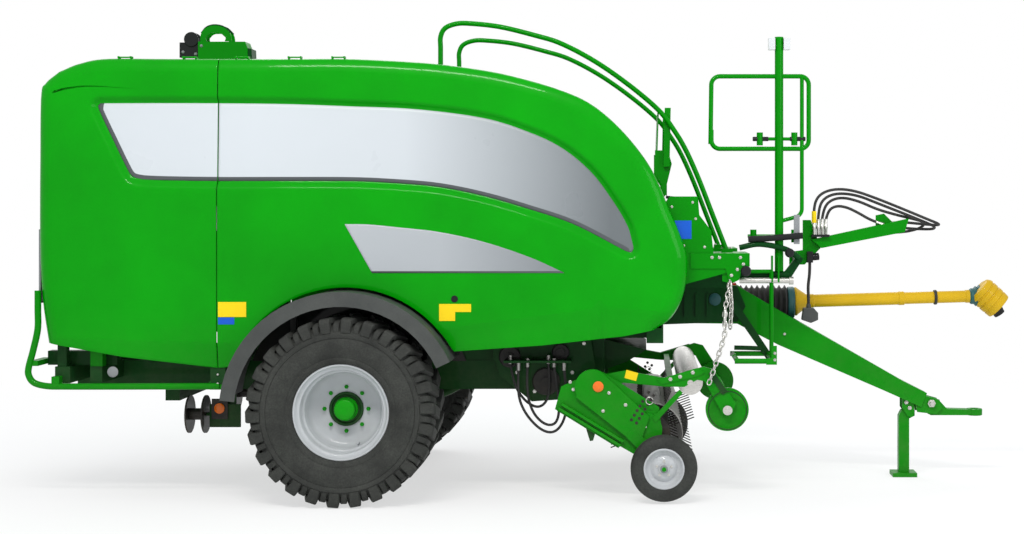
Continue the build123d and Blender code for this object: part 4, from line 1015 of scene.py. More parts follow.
# %% [markdown]
# The rim is a deep silver barrel with a rolled edge and two steps, closed by a dished disc. The hub in its
# middle is green: a dark ring, a bright cap and eight studs. A cylinder cut and bevelled would take many
# steps, while one closed section turned once gives barrel, steps and disc together.

# %% Rims
RIM_TURNS = 144
# section of the rim: (radius, distance outwards from the wheel's middle)
RIM_LOOP = [(0.284, -0.236), (0.290, -0.240), (0.311, -0.240), (0.3145, -0.236), (0.3135, -0.229),
            (0.300, -0.224), (0.2925, -0.210), (0.2915, 0.206), (0.300, 0.224), (0.3135, 0.229),
            (0.3150, 0.236), (0.3110, 0.240), (0.3040, 0.2385), (0.2990, 0.2300), (0.2930, 0.2180),
            (0.2850, 0.2110), (0.2760, 0.2080), (0.2720, 0.2000), (0.2700, 0.1750), (0.2690, 0.1500),
            (0.2640, 0.1430), (0.2560, 0.1400), (0.2530, 0.1330), (0.2505, 0.0600), (0.2440, 0.0400),
            (0.2300, 0.0270), (0.2100, 0.0200), (0.1700, 0.0170), (0.1100, 0.0160), (0.0460, 0.0160),
            (0.0460, 0.0060), (0.1700, 0.0060), (0.2100, 0.0090), (0.2400, 0.0250), (0.2640, 0.0500),
            (0.2760, 0.0800), (0.2780, -0.2000), (0.2800, -0.2340)]
HUB_RING = [(0.0460, 0.0140), (0.1140, 0.0140), (0.1140, 0.0280), (0.1110, 0.0320), (0.0980, 0.0320),
            (0.0950, 0.0280), (0.0900, 0.0200), (0.0460, 0.0200)]
HUB_CAP = [(0.0, 0.0160), (0.0780, 0.0160), (0.0780, 0.0380), (0.0740, 0.0420), (0.0700, 0.0440),
           (0.0690, 0.0980), (0.0660, 0.1060), (0.0600, 0.1100), (0.0200, 0.1120), (0.0, 0.1120)]
STUD_CIRCLE = 0.146
STUD = [(0.0, 0.0150), (0.0150, 0.0150), (0.0150, 0.0200), (0.0115, 0.0205), (0.0115, 0.0340),
        (0.0075, 0.0350), (0.0070, 0.0480), (0.0, 0.0490)]
VALVE = [(0.0, 0.030), (0.006, 0.030), (0.006, 0.098), (0.004, 0.102), (0.0, 0.102)]


def add_rim(side_name, sign):
    """A rim with its disc, hub ring, cap, studs and valve, in three finishes."""
    cy = sign * WHEEL_Y
    out = (0, sign, 0)
    parts = [turned(RIM_LOOP, (AXLE_X, cy, HUB_Z), out, RIM_TURNS)]
    parts.append(turned(HUB_RING, (AXLE_X, cy, HUB_Z), out, 96))
    parts.append(turned(HUB_CAP, (AXLE_X, cy, HUB_Z), out, 96))
    for angle in np.arange(8) * math.pi / 4:
        at = (AXLE_X + STUD_CIRCLE * math.cos(angle), cy, HUB_Z + STUD_CIRCLE * math.sin(angle))
        parts.append(turned(STUD, at, out, 6))
    parts.append(turned(VALVE, (AXLE_X + 0.087, cy, HUB_Z - 0.222), out, 12))
    points, faces, owner = joined(parts)
    piece = mesh_piece("wheel_rim_" + side_name, points, faces, rim_silver, "wheel_" + side_name)
    piece.data.materials.append(dark_green_and_shade)
    piece.data.materials.append(panel_green)
    kind = np.select([owner == 0, owner == 1, owner == len(parts) - 1], [0, 1, 0], 2)
    piece.data.polygons.foreach_set("material_index", kind.astype(np.int32))
    piece.data.set_sharp_from_angle(angle=math.radians(40))
    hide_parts("rim_" + side_name)
    return piece


for side_name, sign in (("right", -1), ("left", 1)):
    rim = add_rim(side_name, sign)
    print(rim.name, len(rim.data.polygons), "faces")

# %% [markdown]
# The smaller pieces are built on a bench, in metres with x counted from the axle, and all the parts of one
# piece share its mesh. An object for each bolt would be simpler, but hundreds of objects are hard to name
# and to move. Points that meet are welded, so that a skin which ends on its axis closes there.

# %% A bench for small pieces
IN_X = np.array([AXLE_X, 0.0, 0.0])


class Bench:
    """Collects parts, each with the number of its finish, and makes one piece of them."""

    def __init__(self):
        self.points, self.faces, self.kinds, self.count = [], [], [], 0

    def add(self, part, kind=0):
        """Adds points and faces; x of the points is counted from the axle."""
        points, faces = part
        self.points.append(np.asarray(points) + IN_X)
        self.faces += [[int(i) + self.count for i in face] for face in faces]
        self.kinds += [kind] * len(faces)
        self.count += len(points)

    def piece(self, name, body, finishes, slot, bevel=0.0, replaces=(), sharp=35):
        """The finished piece, with bevelled edges if asked for."""
        piece = mesh_piece(name, np.vstack(self.points), self.faces, finishes[0], body)
        mesh = piece.data
        for finish in finishes[1:]:
            mesh.materials.append(finish)
        mesh.polygons.foreach_set("material_index", np.array(self.kinds, np.int32))
        work = bmesh.new()
        work.from_mesh(mesh)
        bmesh.ops.remove_doubles(work, verts=work.verts, dist=2e-6)
        work.to_mesh(mesh)
        work.free()
        mesh.set_sharp_from_angle(angle=math.radians(sharp))
        if bevel:
            edges = piece.modifiers.new("edges", "BEVEL")
            edges.width, edges.segments, edges.limit_method = bevel, 2, "ANGLE"
            edges.angle_limit = math.radians(40)
            edges.harden_normals = True
        if replaces:
            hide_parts(*replaces)
        return piece


print("x on the bench starts at", round(AXLE_X, 4))

# %% [markdown]
# A tube could be a curve with a round bevel. Here it is a ring carried along a line without twist, so that
# it goes straight into the bench's mesh. A plate is an outline drawn at two widths, with walls between.

# %% Tubes and plates


def tube_part(line, radius, sides=16):
    """Skin of a tube along a line of points: a ring square to the path at each point, carried along without
    twist."""
    line = np.asarray(line, float)
    radius = np.broadcast_to(np.asarray(radius, float), (len(line),))
    way = np.gradient(line, axis=0)
    way /= np.linalg.norm(way, axis=1)[:, None]
    side = np.cross(way[0], (0.0, 1.0, 0.0) if abs(way[0, 1]) < 0.9 else (1.0, 0.0, 0.0))
    angle = np.linspace(0.0, 2 * np.pi, sides, endpoint=False)[:, None]
    rings = []
    for at, d, r in zip(line, way, radius):
        side = side - d * np.dot(side, d)
        side /= np.linalg.norm(side)
        rings.append(at + r * (np.cos(angle) * side + np.sin(angle) * np.cross(d, side)))
    index = np.arange(len(line) * sides).reshape(len(line), sides)
    faces = grid_faces(np.hstack([index, index[:, :1]]))[:, ::-1]
    k = np.arange(sides // 2 - 1)
    cap = np.stack([k, k + 1, sides - 2 - k, sides - 1 - k], axis=1)
    return np.vstack(rings), np.vstack([faces, index[0][cap][:, ::-1], index[-1][cap]])


def plate_part(outline, y_low, y_high):
    """A flat plate: an outline of (x, z), either way round, between two widths."""
    flat = np.asarray(outline, float)
    y_low, y_high = sorted((y_low, y_high))
    area = np.sum(flat[:, 0] * np.roll(flat[:, 1], -1) - np.roll(flat[:, 0], -1) * flat[:, 1])
    flat = flat if area > 0 else flat[::-1]
    count = len(flat)
    points = np.vstack([np.insert(flat, 1, y_low, axis=1), np.insert(flat, 1, y_high, axis=1)])
    i = np.arange(count)
    walls = np.stack([i, i + count, (i + 1) % count + count, (i + 1) % count], axis=1)
    return points, [list(i), list(i[::-1] + count)] + walls.tolist()


def block_part(x, y, z):
    """A block between two values along each axis."""
    return plate_part([(x[0], z[0]), (x[1], z[0]), (x[1], z[1]), (x[0], z[1])], *y)


def flat_line(points, y, steps=10):
    """A smooth line through (x, z) points at one width."""
    return np.insert(smooth_curve(points, steps), 1, y, axis=1)


print("a block has", len(block_part((0, 1), (0, 1), (0, 1))[1]), "faces")

# %% [markdown]
# Bolts, pins and discs come back everywhere, so each has a short helper. A bolt's head could be a primitive
# of its own, but a skin turned in six steps is a hexagon already. A few small plates and lenses have
# colours of their own.

# %% Bolts, pins and small finishes


def drum(radius, high):
    """Loop of a plain drum that stands on its foot."""
    return [(0.0, 0.0), (radius, 0.0), (radius, high), (0.0, high)]


def pin(radius):
    """Loop of a short pin with chamfered ends, its middle at the base."""
    return [(0.0, -0.055), (radius - 0.002, -0.055), (radius, -0.050), (radius, 0.050),
            (radius - 0.002, 0.055), (0.0, 0.055)]


def bolt_part(at, axis, radius):
    """A hexagon head with a washer, on a surface at a point and standing along an axis."""
    head = radius * 0.62
    loop = [(0.0, -0.002), (radius, -0.002), (radius, 0.14 * radius), (radius * 0.92, 0.2 * radius),
            (head, 0.2 * radius), (head, 0.75 * radius), (head * 0.86, 0.86 * radius), (0.0, 0.86 * radius)]
    return turned(loop, at, axis, 6)


def add_bolts(bench, spots, y, way, radius, kind):
    """Bolts at (x, z) spots on an upright face at one width."""
    for x, z in spots:
        bench.add(bolt_part((x, y, z), (0, way, 0), radius), kind)


def arc(x, z, radius, start, end, count):
    """Points (x, z) of a circle's arc about a centre, between two angles in radians."""
    return [(x + radius * math.cos(a), z + radius * math.sin(a)) for a in np.linspace(start, end, count)]


blue_plate = paint("blue_plate", (0.01, 0.10, 0.55), rough=0.35, coat=0.2)
yellow_plate = paint("yellow_plate", (0.85, 0.60, 0.01), rough=0.35, coat=0.2, dust=0.05)
orange_lens = paint("orange_lens", (0.80, 0.16, 0.01), rough=0.2, coat=0.6)
teal_plastic = rubber("teal_plastic", (0.010, 0.075, 0.080), (0.030, 0.110, 0.110), grain=200.0, depth=0.0004,
                      rough=0.5)
print("bench ready")

# %% [markdown]
# The guard rails run in soft curves from the roof down to the platform. They and the shaft are the
# machine's most visible tubes. Straight pieces with rounded corners would show kinks in the highlight, so
# their lines are smooth curves through a few points.

# %% Guard rails
RAIL_LINE = [(0.560, 2.914), (0.560, 3.060), (0.560, 3.140), (0.590, 3.200), (0.664, 3.231), (0.760, 3.2345),
             (0.973, 3.211), (1.223, 3.150), (1.400, 3.094), (1.633, 2.971), (1.870, 2.806), (2.075, 2.632),
             (2.185, 2.488), (2.266, 2.350), (2.355, 2.150), (2.450, 1.905), (2.544, 1.664)]
rails = Bench()
for way in (-1, 1):
    rails.add(tube_part(flat_line(RAIL_LINE, way * 0.600, 8), 0.0175, 20))
    rails.add(block_part((2.510, 2.590), (way * 0.560, way * 0.640), (1.647, 1.672)))
    rails.add(bolt_part((2.520, way * 0.575, 1.672), (0, 0, 1), 0.012), 1)
    rails.add(bolt_part((2.575, way * 0.625, 1.672), (0, 0, 1), 0.012), 1)
    rails.add(turned([(0.0, -0.004), (0.034, -0.004), (0.034, 0.006), (0.030, 0.010), (0.0, 0.010)],
                     (0.560, way * 0.600, 2.918), (0, 0, 1), 24))
rails.piece("guard_rails", "chassis", [frame_green, plated_steel], "frame_green", replaces=("top_rails",))
print("rails done")

# %% [markdown]
# The drive shaft runs in a yellow guard tube and ends in a bell that droops while no tractor is there. Each
# part is a section turned about its own leaning line, which is simpler than turning it upright and tilting
# it after. The bell keeps to the joint's head, so the two droop and turn as one.

# %% Drive shaft
SHAFT_FROM, SHAFT_TO = np.array([3.070, 0.0, 1.2705]), np.array([4.4780, 0.0, 1.3113])
SHAFT_WAY = (SHAFT_TO - SHAFT_FROM) / np.linalg.norm(SHAFT_TO - SHAFT_FROM)
SHAFT_LONG = float(np.linalg.norm(SHAFT_TO - SHAFT_FROM))
BELL_WAY = (math.cos(math.radians(-42)), 0.0, math.sin(math.radians(-42)))
HEAD_WAY = (math.cos(math.radians(-55)), 0.0, math.sin(math.radians(-55)))
TUBE_LOOP = [(0.0, 0.0), (0.098, 0.0), (0.104, 0.006), (0.104, 0.016), (0.098, 0.022), (0.080, 0.045),
             (0.056, 0.080), (0.0500, 0.086), (0.0500, 0.140), (0.0465, 0.144), (0.0465, 0.760),
             (0.0500, 0.764), (0.0500, 0.800), (0.0465, 0.804), (0.0430, 0.808), (0.0430, SHAFT_LONG - 0.160),
             (0.047, SHAFT_LONG - 0.156), (0.047, SHAFT_LONG - 0.120), (0.0, SHAFT_LONG - 0.120)]
CLIP_LOOP = [(0.044, 1.020), (0.052, 1.020), (0.054, 1.024), (0.054, 1.036), (0.052, 1.040), (0.044, 1.040)]
BOOT_LOOP = [(0.0, SHAFT_LONG - 0.128), (0.050, SHAFT_LONG - 0.128), (0.058, SHAFT_LONG - 0.118),
             (0.058, SHAFT_LONG - 0.100), (0.074, SHAFT_LONG - 0.084), (0.066, SHAFT_LONG - 0.072),
             (0.082, SHAFT_LONG - 0.058), (0.074, SHAFT_LONG - 0.046), (0.082, SHAFT_LONG - 0.032),
             (0.070, SHAFT_LONG - 0.016), (0.0, SHAFT_LONG - 0.010)]
BELL_LOOP = [(0.0000, -0.088), (0.0644, -0.088), (0.0897, -0.078), (0.1035, -0.056), (0.1058, -0.040),
             (0.1000, -0.036), (0.1000, -0.026), (0.1058, -0.022), (0.1058, 0.008), (0.1000, 0.012),
             (0.1000, 0.022), (0.1058, 0.026), (0.1046, 0.060), (0.1000, 0.064), (0.1000, 0.072),
             (0.1035, 0.076), (0.1012, 0.112), (0.0989, 0.117), (0.0909, 0.117), (0.0920, 0.060),
             (0.0897, -0.030), (0.0000, -0.034)]
HEAD_LOOP = [(0.0, -0.030), (0.030, -0.030), (0.036, -0.020), (0.040, 0.010), (0.045, 0.020), (0.045, 0.060),
             (0.041, 0.064), (0.041, 0.078), (0.045, 0.082), (0.045, 0.140), (0.042, 0.146), (0.042, 0.160),
             (0.038, 0.166), (0.024, 0.166), (0.022, 0.160), (0.022, 0.060), (0.0, 0.060)]
guard = Bench()
guard.add(turned(TUBE_LOOP, SHAFT_FROM, SHAFT_WAY, 40), 0)
guard.add(turned(CLIP_LOOP, SHAFT_FROM, SHAFT_WAY, 40), 1)
guard.add(turned(BOOT_LOOP, SHAFT_FROM, SHAFT_WAY, 40), 2)
guard.piece("shaft_tube", "chassis", [guard_yellow, soft_rubber, teal_plastic], "guard_yellow",
            replaces=("shaft_guard",))
head = Bench()
head.add(turned(BELL_LOOP, SHAFT_TO, BELL_WAY, 56), 0)
head.add(turned(HEAD_LOOP, SHAFT_TO, HEAD_WAY, 32), 1)
for turn in (-1, 1):
    head.add(turned([(0.0, 0.0), (0.020, 0.0), (0.020, 0.050), (0.016, 0.053), (0.0, 0.053)],
                    SHAFT_TO + 0.100 * np.array(HEAD_WAY), (0, turn, 0), 20), 1)
head.piece("shaft_head", "shaft", [guard_yellow, black_paint_and_shade], "guard_yellow", replaces=("shaft_yoke",))
print("shaft", round(SHAFT_LONG, 3))

# %% [markdown]
# The shaft leaves the gearbox through a black bellows. A bump could draw its ribs, but they show in the
# outline, so each rib is real: the section repeats a few points, and one turn makes them all.

# %% Bellows
BELLOWS_FROM, BELLOWS_TO, RIBS = 2.661, 3.020, 9
pitch = (BELLOWS_TO - BELLOWS_FROM) / RIBS
bellows_loop = [(0.0, 0.0)]
for rib in range(RIBS):
    start = rib * pitch
    bellows_loop += [(0.104, start + 0.001), (0.110, start + 0.22 * pitch), (0.126, start + 0.44 * pitch),
                     (0.128, start + 0.50 * pitch), (0.126, start + 0.56 * pitch),
                     (0.110, start + 0.78 * pitch)]
bellows_loop += [(0.104, RIBS * pitch), (0.0, RIBS * pitch)]
bellows = Bench()
bellows.add(turned(bellows_loop, (BELLOWS_FROM, 0.0, 1.262), (1, 0, 0), 48), 0)
bellows.add(turned([(0.0, RIBS * pitch), (0.112, RIBS * pitch), (0.116, RIBS * pitch + 0.006),
                    (0.116, RIBS * pitch + 0.040), (0.108, RIBS * pitch + 0.050),
                    (0.0, RIBS * pitch + 0.050)], (BELLOWS_FROM, 0.0, 1.262), (1, 0, 0), 48), 1)
bellows.piece("shaft_bellows", "chassis", [soft_rubber, teal_plastic], "black_rubber", replaces=("bellows",),
              sharp=60)
print("bellows", RIBS, "ribs")

# %% [markdown]
# Two small wheels carry the pick-up. Their tyres are smooth but for two narrow grooves, and their silver
# rims are dished. They are turned like the big wheels, in fewer steps, because they are smaller.

# %% Gauge wheels
GAUGE_X, GAUGE_Z, GAUGE_Y = 2.105, 0.234, 1.190
GAUGE_TYRE = [(0.128, -0.036), (0.140, -0.044), (0.165, -0.0485), (0.190, -0.0480), (0.208, -0.042),
              (0.218, -0.028), (0.2205, -0.014), (0.2170, -0.012), (0.2170, -0.006), (0.2215, -0.004),
              (0.2215, 0.004), (0.2170, 0.006), (0.2170, 0.012), (0.2205, 0.014), (0.218, 0.028),
              (0.208, 0.042), (0.190, 0.0480), (0.165, 0.0485), (0.140, 0.044), (0.128, 0.036)]
GAUGE_RIM = [(0.0, -0.026), (0.110, -0.026), (0.126, -0.034), (0.134, -0.034), (0.136, -0.028),
             (0.136, 0.040), (0.132, 0.043), (0.126, 0.043), (0.121, 0.038), (0.116, 0.022), (0.106, 0.012),
             (0.090, 0.009), (0.078, 0.016), (0.066, 0.026), (0.052, 0.029), (0.036, 0.029), (0.034, 0.036),
             (0.0, 0.036)]
GAUGE_HUB = [(0.0, 0.030), (0.026, 0.030), (0.026, 0.044), (0.022, 0.048), (0.0, 0.0485)]
for side_name, way in (("right", -1), ("left", 1)):
    small = Bench()
    at, out = (GAUGE_X, way * GAUGE_Y, GAUGE_Z), (0, way, 0)
    small.add(turned(GAUGE_TYRE, at, out, 72), 0)
    small.add(turned(GAUGE_RIM, at, out, 64), 1)
    small.add(turned(GAUGE_HUB, at, out, 32), 2)
    for angle in np.arange(5) * 2 * math.pi / 5 + 0.3:
        spot = (GAUGE_X + 0.050 * math.cos(angle), way * (GAUGE_Y + 0.028), GAUGE_Z + 0.050 * math.sin(angle))
        small.add(bolt_part(spot, out, 0.010), 3)
    small.piece("gauge_tyre_" + side_name, "gauge_" + side_name,
                [tyre_rubber, rim_silver, grey_paint, plated_steel], "tyre",
                replaces=("gauge_wheel_" + side_name,))
print("gauge wheels done")

# %% [markdown]
# At the back a tube rail goes round each corner and runs forward below the doors. It is one smooth line for
# both sides, with only the width negated.

# %% Rear rails
REAR_RAIL = [(-2.044, 1.405), (-2.044, 1.280), (-2.045, 1.150), (-2.075, 1.010), (-2.104, 0.900),
             (-2.105, 0.845), (-2.070, 0.795), (-1.985, 0.772), (-1.850, 0.769), (-1.500, 0.769),
             (-1.150, 0.770), (-0.840, 0.771)]
back = Bench()
for way in (-1, 1):
    back.add(tube_part(flat_line(REAR_RAIL, way * 1.1460, 8), 0.0215, 20))
    back.add(block_part((-2.100, -2.043), (way * 0.880, way * 1.150), (0.905, 0.940)))
    back.add(block_part((-1.950, -1.900), (way * 1.090, way * 1.160), (0.765, 0.835)))
    back.add(plate_part([(-0.905, 0.748), (-0.822, 0.748), (-0.822, 0.905), (-0.850, 0.905), (-0.905, 0.800)],
                        way * 1.138, way * 1.146))
    add_bolts(back, ((-0.850, 0.850), (-0.850, 0.790)), way * 1.146, way, 0.013, 1)
back.piece("corner_rails", "chassis", [frame_green, plated_steel], "frame_green", replaces=("rear_guard",))
print("rear rails done")

# %% [markdown]
# On the roof stands a film cutter's bracket: a green box, a bow of flat steel, a dark motor and its roller.
# A bent tube would give the bow a round section. It is a plate between two lines: its inner edge is the
# outer one moved in, sideways at the feet and downwards at the top.

# %% Film cutter on the roof
BOW = [(-1.175, 3.120), (-1.168, 3.190), (-1.130, 3.232), (-1.075, 3.247), (-1.010, 3.234), (-0.962, 3.190),
       (-0.950, 3.135)]
bow = smooth_curve(BOW, 6)
bow_in = bow + np.stack([np.interp(np.linspace(0, 1, len(bow)), [0, 0.5, 1], [0.050, 0.0, -0.050]),
                         np.interp(np.linspace(0, 1, len(bow)), [0, 0.25, 0.5, 0.75, 1],
                                   [0, -0.042, -0.050, -0.042, 0])], axis=1)
box = Bench()
box.add(plate_part([(-1.183, 2.943), (-0.833, 2.943), (-0.833, 3.085), (-0.850, 3.130), (-1.183, 3.130)],
                   -0.380, -0.220), 0)
box.add(plate_part([(-0.833, 2.943), (-0.800, 2.943), (-0.806, 3.080), (-0.833, 3.085)], -0.372, -0.228), 1)
for y in (-0.355, -0.249):
    box.add(plate_part(np.vstack([bow, bow_in[::-1]]), y, y + 0.008), 0)
for y in (-0.3475, -0.2485):
    box.add(tube_part(flat_line(BOW[1:-1], y, 6) + np.array([0.0, 0.0, 0.004]), 0.006, 10), 1)
box.add(block_part((-1.325, -1.183), (-0.340, -0.332), (3.021, 3.128)), 2)
box.add(block_part((-1.325, -1.183), (-0.268, -0.260), (3.021, 3.128)), 2)
box.add(block_part((-1.325, -1.183), (-0.340, -0.260), (3.021, 3.031)), 2)
for y in (-0.350, -0.262):
    box.add(turned([(0.0, 0.0), (0.050, 0.0), (0.052, 0.003), (0.052, 0.009), (0.050, 0.012), (0.0, 0.012)],
                   (-1.240, y, 3.150), (0, 1, 0), 36), 2)
box.add(turned(drum(0.036, 0.088), (-1.240, -0.344, 3.150), (0, 1, 0), 32), 3)
for x, z in ((-1.160, 2.975), (-0.860, 2.975), (-1.160, 3.100), (-1.300, 3.060), (-1.210, 3.045)):
    box.add(bolt_part((x, -0.380 if x > -1.18 else -0.340, z), (0, -1, 0), 0.012), 3)
box.piece("film_cutter", "chassis", [frame_green, dark_green_and_shade, black_paint_and_shade, grey_paint], "frame_green",
          bevel=0.002, replaces=("roof_bracket",))
print("film cutter done")

# %% [markdown]
# The step hangs from the platform on one upright tube, with a brace behind it. All of it is tubes, blocks
# and bolts, so the bench's helpers are enough.

# %% Step
step = Bench()
for y0, y1 in ((-0.900, -0.640), (-0.560, -0.300)):
    for x in (2.606, 2.854):
        step.add(tube_part([(x, y0 - 0.004, 0.915), (x, (y0 + y1) / 2, 0.915), (x, y1 + 0.004, 0.915)], 0.017,
                           16))
step.add(tube_part(flat_line([(2.588, 0.915), (2.700, 0.915), (2.872, 0.915)], -0.900, 3), 0.018, 18))
step.add(tube_part(flat_line([(2.588, 0.915), (2.700, 0.915), (2.872, 0.915)], -0.300, 3), 0.018, 18))
step.add(tube_part(flat_line([(2.862, 0.915), (2.862, 1.200), (2.862, 1.512)], -0.560, 3), 0.015, 18))
step.add(tube_part(flat_line([(2.640, 1.510), (2.750, 1.510), (2.872, 1.510)], -0.560, 3), 0.014, 16))
step.add(tube_part(flat_line([(2.660, 1.500), (2.660, 1.570), (2.660, 1.635)], -0.560, 3), 0.012, 16))
step.add(plate_part([(2.800, 0.892), (2.872, 0.892), (2.872, 1.020), (2.846, 1.020), (2.836, 0.938),
                     (2.800, 0.932)], -0.918, -0.910))
step.add(tube_part([(2.854, -0.640, 0.915), (2.854, -0.600, 0.915), (2.854, -0.560, 0.915)], 0.015, 16))
add_bolts(step, ((2.858, 0.970), (2.858, 0.925)), -0.918, -1, 0.011, 1)
step.add(tube_part(flat_line([(2.610, 0.968), (2.700, 0.966), (2.800, 0.962)], -0.430, 3), 0.016, 16), 2)
step.piece("step", "chassis", [frame_green, plated_steel, dark_green_and_shade], "frame_green", replaces=("ladder",))
print("step done")

# %% [markdown]
# A chain hangs from the platform's hook plate down to the wind guard's arm. Its links are stadium loops of
# round bar, every other one turned a quarter about the chain's line. A rigid body simulation could hang it,
# but a drawn line gives the same hang and is the same at every render.

# %% Chain
LINK_LONG, LINK_WIDE, LINK_BAR = 0.042, 0.0140, 0.0050
LINK_STEPS, LINK_SIDES = 16, 8


def link_part(at, way, turn):
    """A chain link: round bar along a stadium, two half circles joined by straights, turned about the chain's
    line."""
    t = np.linspace(0.0, 2 * np.pi, LINK_STEPS, endpoint=False)
    along_way = LINK_WIDE * np.sin(t) + np.sign(np.sin(t)) * (LINK_LONG / 2 - LINK_WIDE)
    out = LINK_WIDE * np.cos(t)
    way = np.asarray(way, float) / np.linalg.norm(way)
    first = np.cross(way, (0.0, 1.0, 0.0))
    first /= np.linalg.norm(first)
    second = np.cross(way, first)
    flat = math.cos(turn) * first + math.sin(turn) * second
    up = np.cross(way, flat)
    centre = at + along_way[:, None] * way + out[:, None] * flat
    radial = np.cos(t)[:, None] * flat + np.sin(t)[:, None] * way
    ring = np.linspace(0.0, 2 * np.pi, LINK_SIDES, endpoint=False)
    points = centre[:, None] + LINK_BAR * (np.cos(ring)[None, :, None] * radial[:, None] +
                                           np.sin(ring)[None, :, None] * up)
    index = np.arange(LINK_STEPS * LINK_SIDES).reshape(LINK_STEPS, LINK_SIDES)
    index = np.hstack([index, index[:, :1]])
    return points.reshape(-1, 3), grid_faces(np.vstack([index, index[:1]]))


HANG = [(2.560, 1.500), (2.538, 1.390), (2.516, 1.265), (2.514, 1.180), (2.510, 1.097), (2.462, 0.940),
        (2.410, 0.790)]
hang = smooth_curve(HANG, 20)
hang_y = np.interp(hang[:, 1], [0.790, 1.050, 1.265, 1.500], [-1.056, -1.056, -1.030, -0.985])
hang = np.stack([hang[:, 0], hang_y, hang[:, 1]], axis=1)
length = np.sum(np.linalg.norm(np.diff(hang, axis=0), axis=1))
chain_parts = Bench()
count = int(length / (LINK_LONG - 2.2 * LINK_BAR))
spots = along(hang, np.linspace(0.0, 1.0, count))
ways = np.gradient(spots, axis=0)
for i, (at, way) in enumerate(zip(spots, ways)):
    chain_parts.add(link_part(at, way, math.pi / 2 * (i % 2) + 0.4), 0)
tail = along(np.array([[2.548, -0.990, 1.455], [2.560, -1.000, 1.300], [2.552, -1.004, 1.160]]),
             np.linspace(0, 1, 13))
for i, at in enumerate(tail):
    chain_parts.add(link_part(at, (0.0, 0.0, -1.0), math.pi / 2 * (i % 2) + 0.9), 0)
chain_parts.add(turned(pin(0.012), (2.514, -1.036, 1.215), (0.02, 0.0, 1.0), 16), 0)
chain_parts.piece("lift_chain", "chassis", [plated_steel], "grey_steel", sharp=60)
print("chain links", count + len(tail))

# %% [markdown]
# The platform's front carries a hook plate with bolts, a knob and levers. Behind the ladder, where the
# gearbox lies in shadow, a near-black green side plate with ribs, a strip and a brace hides it: their colour
# is painted shade. These are many small plates, rods and bolts, and one bench takes them all, since none of
# them moves.

# %% Fittings at the front
fittings = Bench()
HOOK_PLATE = [(2.285, 1.648), (2.671, 1.648), (2.671, 1.559), (2.630, 1.545), (2.612, 1.470), (2.575, 1.452),
              (2.540, 1.475), (2.520, 1.545), (2.285, 1.545)]
fittings.add(plate_part(HOOK_PLATE, -1.008, -1.000), 0)
add_bolts(fittings, ((2.430, 1.620), (2.480, 1.620), (2.620, 1.620), (2.640, 1.575), (2.560, 1.500),
                     (2.600, 1.540)), -1.008, -1, 0.012, 1)
fittings.add(turned([(0.0, 0.0), (0.020, 0.0), (0.034, 0.010), (0.036, 0.030), (0.028, 0.044), (0.0, 0.048)],
                    (2.655, -1.008, 1.530), (0, -1, 0), 24), 2)
fittings.add(tube_part(flat_line([(2.640, 1.446), (2.800, 1.446), (2.990, 1.446)], -0.560, 3), 0.019, 20), 1)
fittings.add(turned(drum(0.027, 0.030), (2.985, -0.560, 1.446), (1, 0, 0), 24), 1)
for x in (2.860, 2.905):
    fittings.add(block_part((x, x + 0.012), (-0.585, -0.535), (1.435, 1.620)), 0)
fittings.add(tube_part(flat_line([(2.700, 1.735), (2.860, 1.742), (3.080, 1.760)], -0.560, 4), 0.022, 16), 2)
fittings.add(tube_part(flat_line([(2.640, 1.675), (2.780, 1.700), (2.960, 1.665), (3.060, 1.600)], -0.545, 6),
                       0.020, 16), 3)
fittings.add(block_part((3.020, 3.060), (-0.548, -0.532), (1.700, 1.905)), 4)
for x in (2.790, 3.050):
    fittings.add(turned(pin(0.016), (x, -0.500, 2.436), (1, 0, 0), 16), 2)
fittings.add(turned([(0.0, 0.0), (0.022, 0.0), (0.032, 0.012), (0.032, 0.034), (0.022, 0.046), (0.0, 0.048)],
                    (2.985, -0.575, 1.640), (0, -1, 0), 24), 2)
# near-black green plate, strip, brace and ribs behind the ladder: painted shade where the gearbox lies in
# shadow
fittings.add(plate_part([(2.104, 1.120), (2.640, 1.140), (2.700, 1.250), (2.640, 1.396), (2.104, 1.400)],
                        -0.272, -0.262), 3)
fittings.add(block_part((2.104, 2.560), (-0.600, -0.592), (1.400, 1.545)), 3)
fittings.add(plate_part([(2.580, 1.260), (2.625, 1.295), (2.885, 0.905), (2.850, 0.870)], -0.330, -0.290), 3)
for x in (2.180, 2.260, 2.340, 2.420):
    fittings.add(block_part((x, x + 0.012), (-0.290, -0.272), (1.180, 1.340)), 3)
fittings.add(turned([(0.0, 0.0), (0.040, 0.0), (0.044, 0.006), (0.044, 0.016), (0.036, 0.022), (0.0, 0.024)],
                    (2.480, -0.272, 1.300), (0, -1, 0), 28), 5)
fittings.add(turned([(0.0, 0.0), (0.026, 0.0), (0.028, 0.004), (0.028, 0.012), (0.020, 0.018), (0.0, 0.020)],
                    (2.200, -1.008, 1.600), (0, -1, 0), 24), 3)
fittings.piece("front_fittings", "chassis", [frame_green, plated_steel, black_paint_and_shade, dark_green_and_shade, grey_paint,
                                             teal_plastic], "frame_green", bevel=0.0015)
print("front fittings done")

# %% [markdown]
# Above the hook plate stands the control housing: two green cheeks with a dark body between them and a
# blank blue plate. It could be one carved block, but plates with fine bevels look like the folded sheet
# that it is.

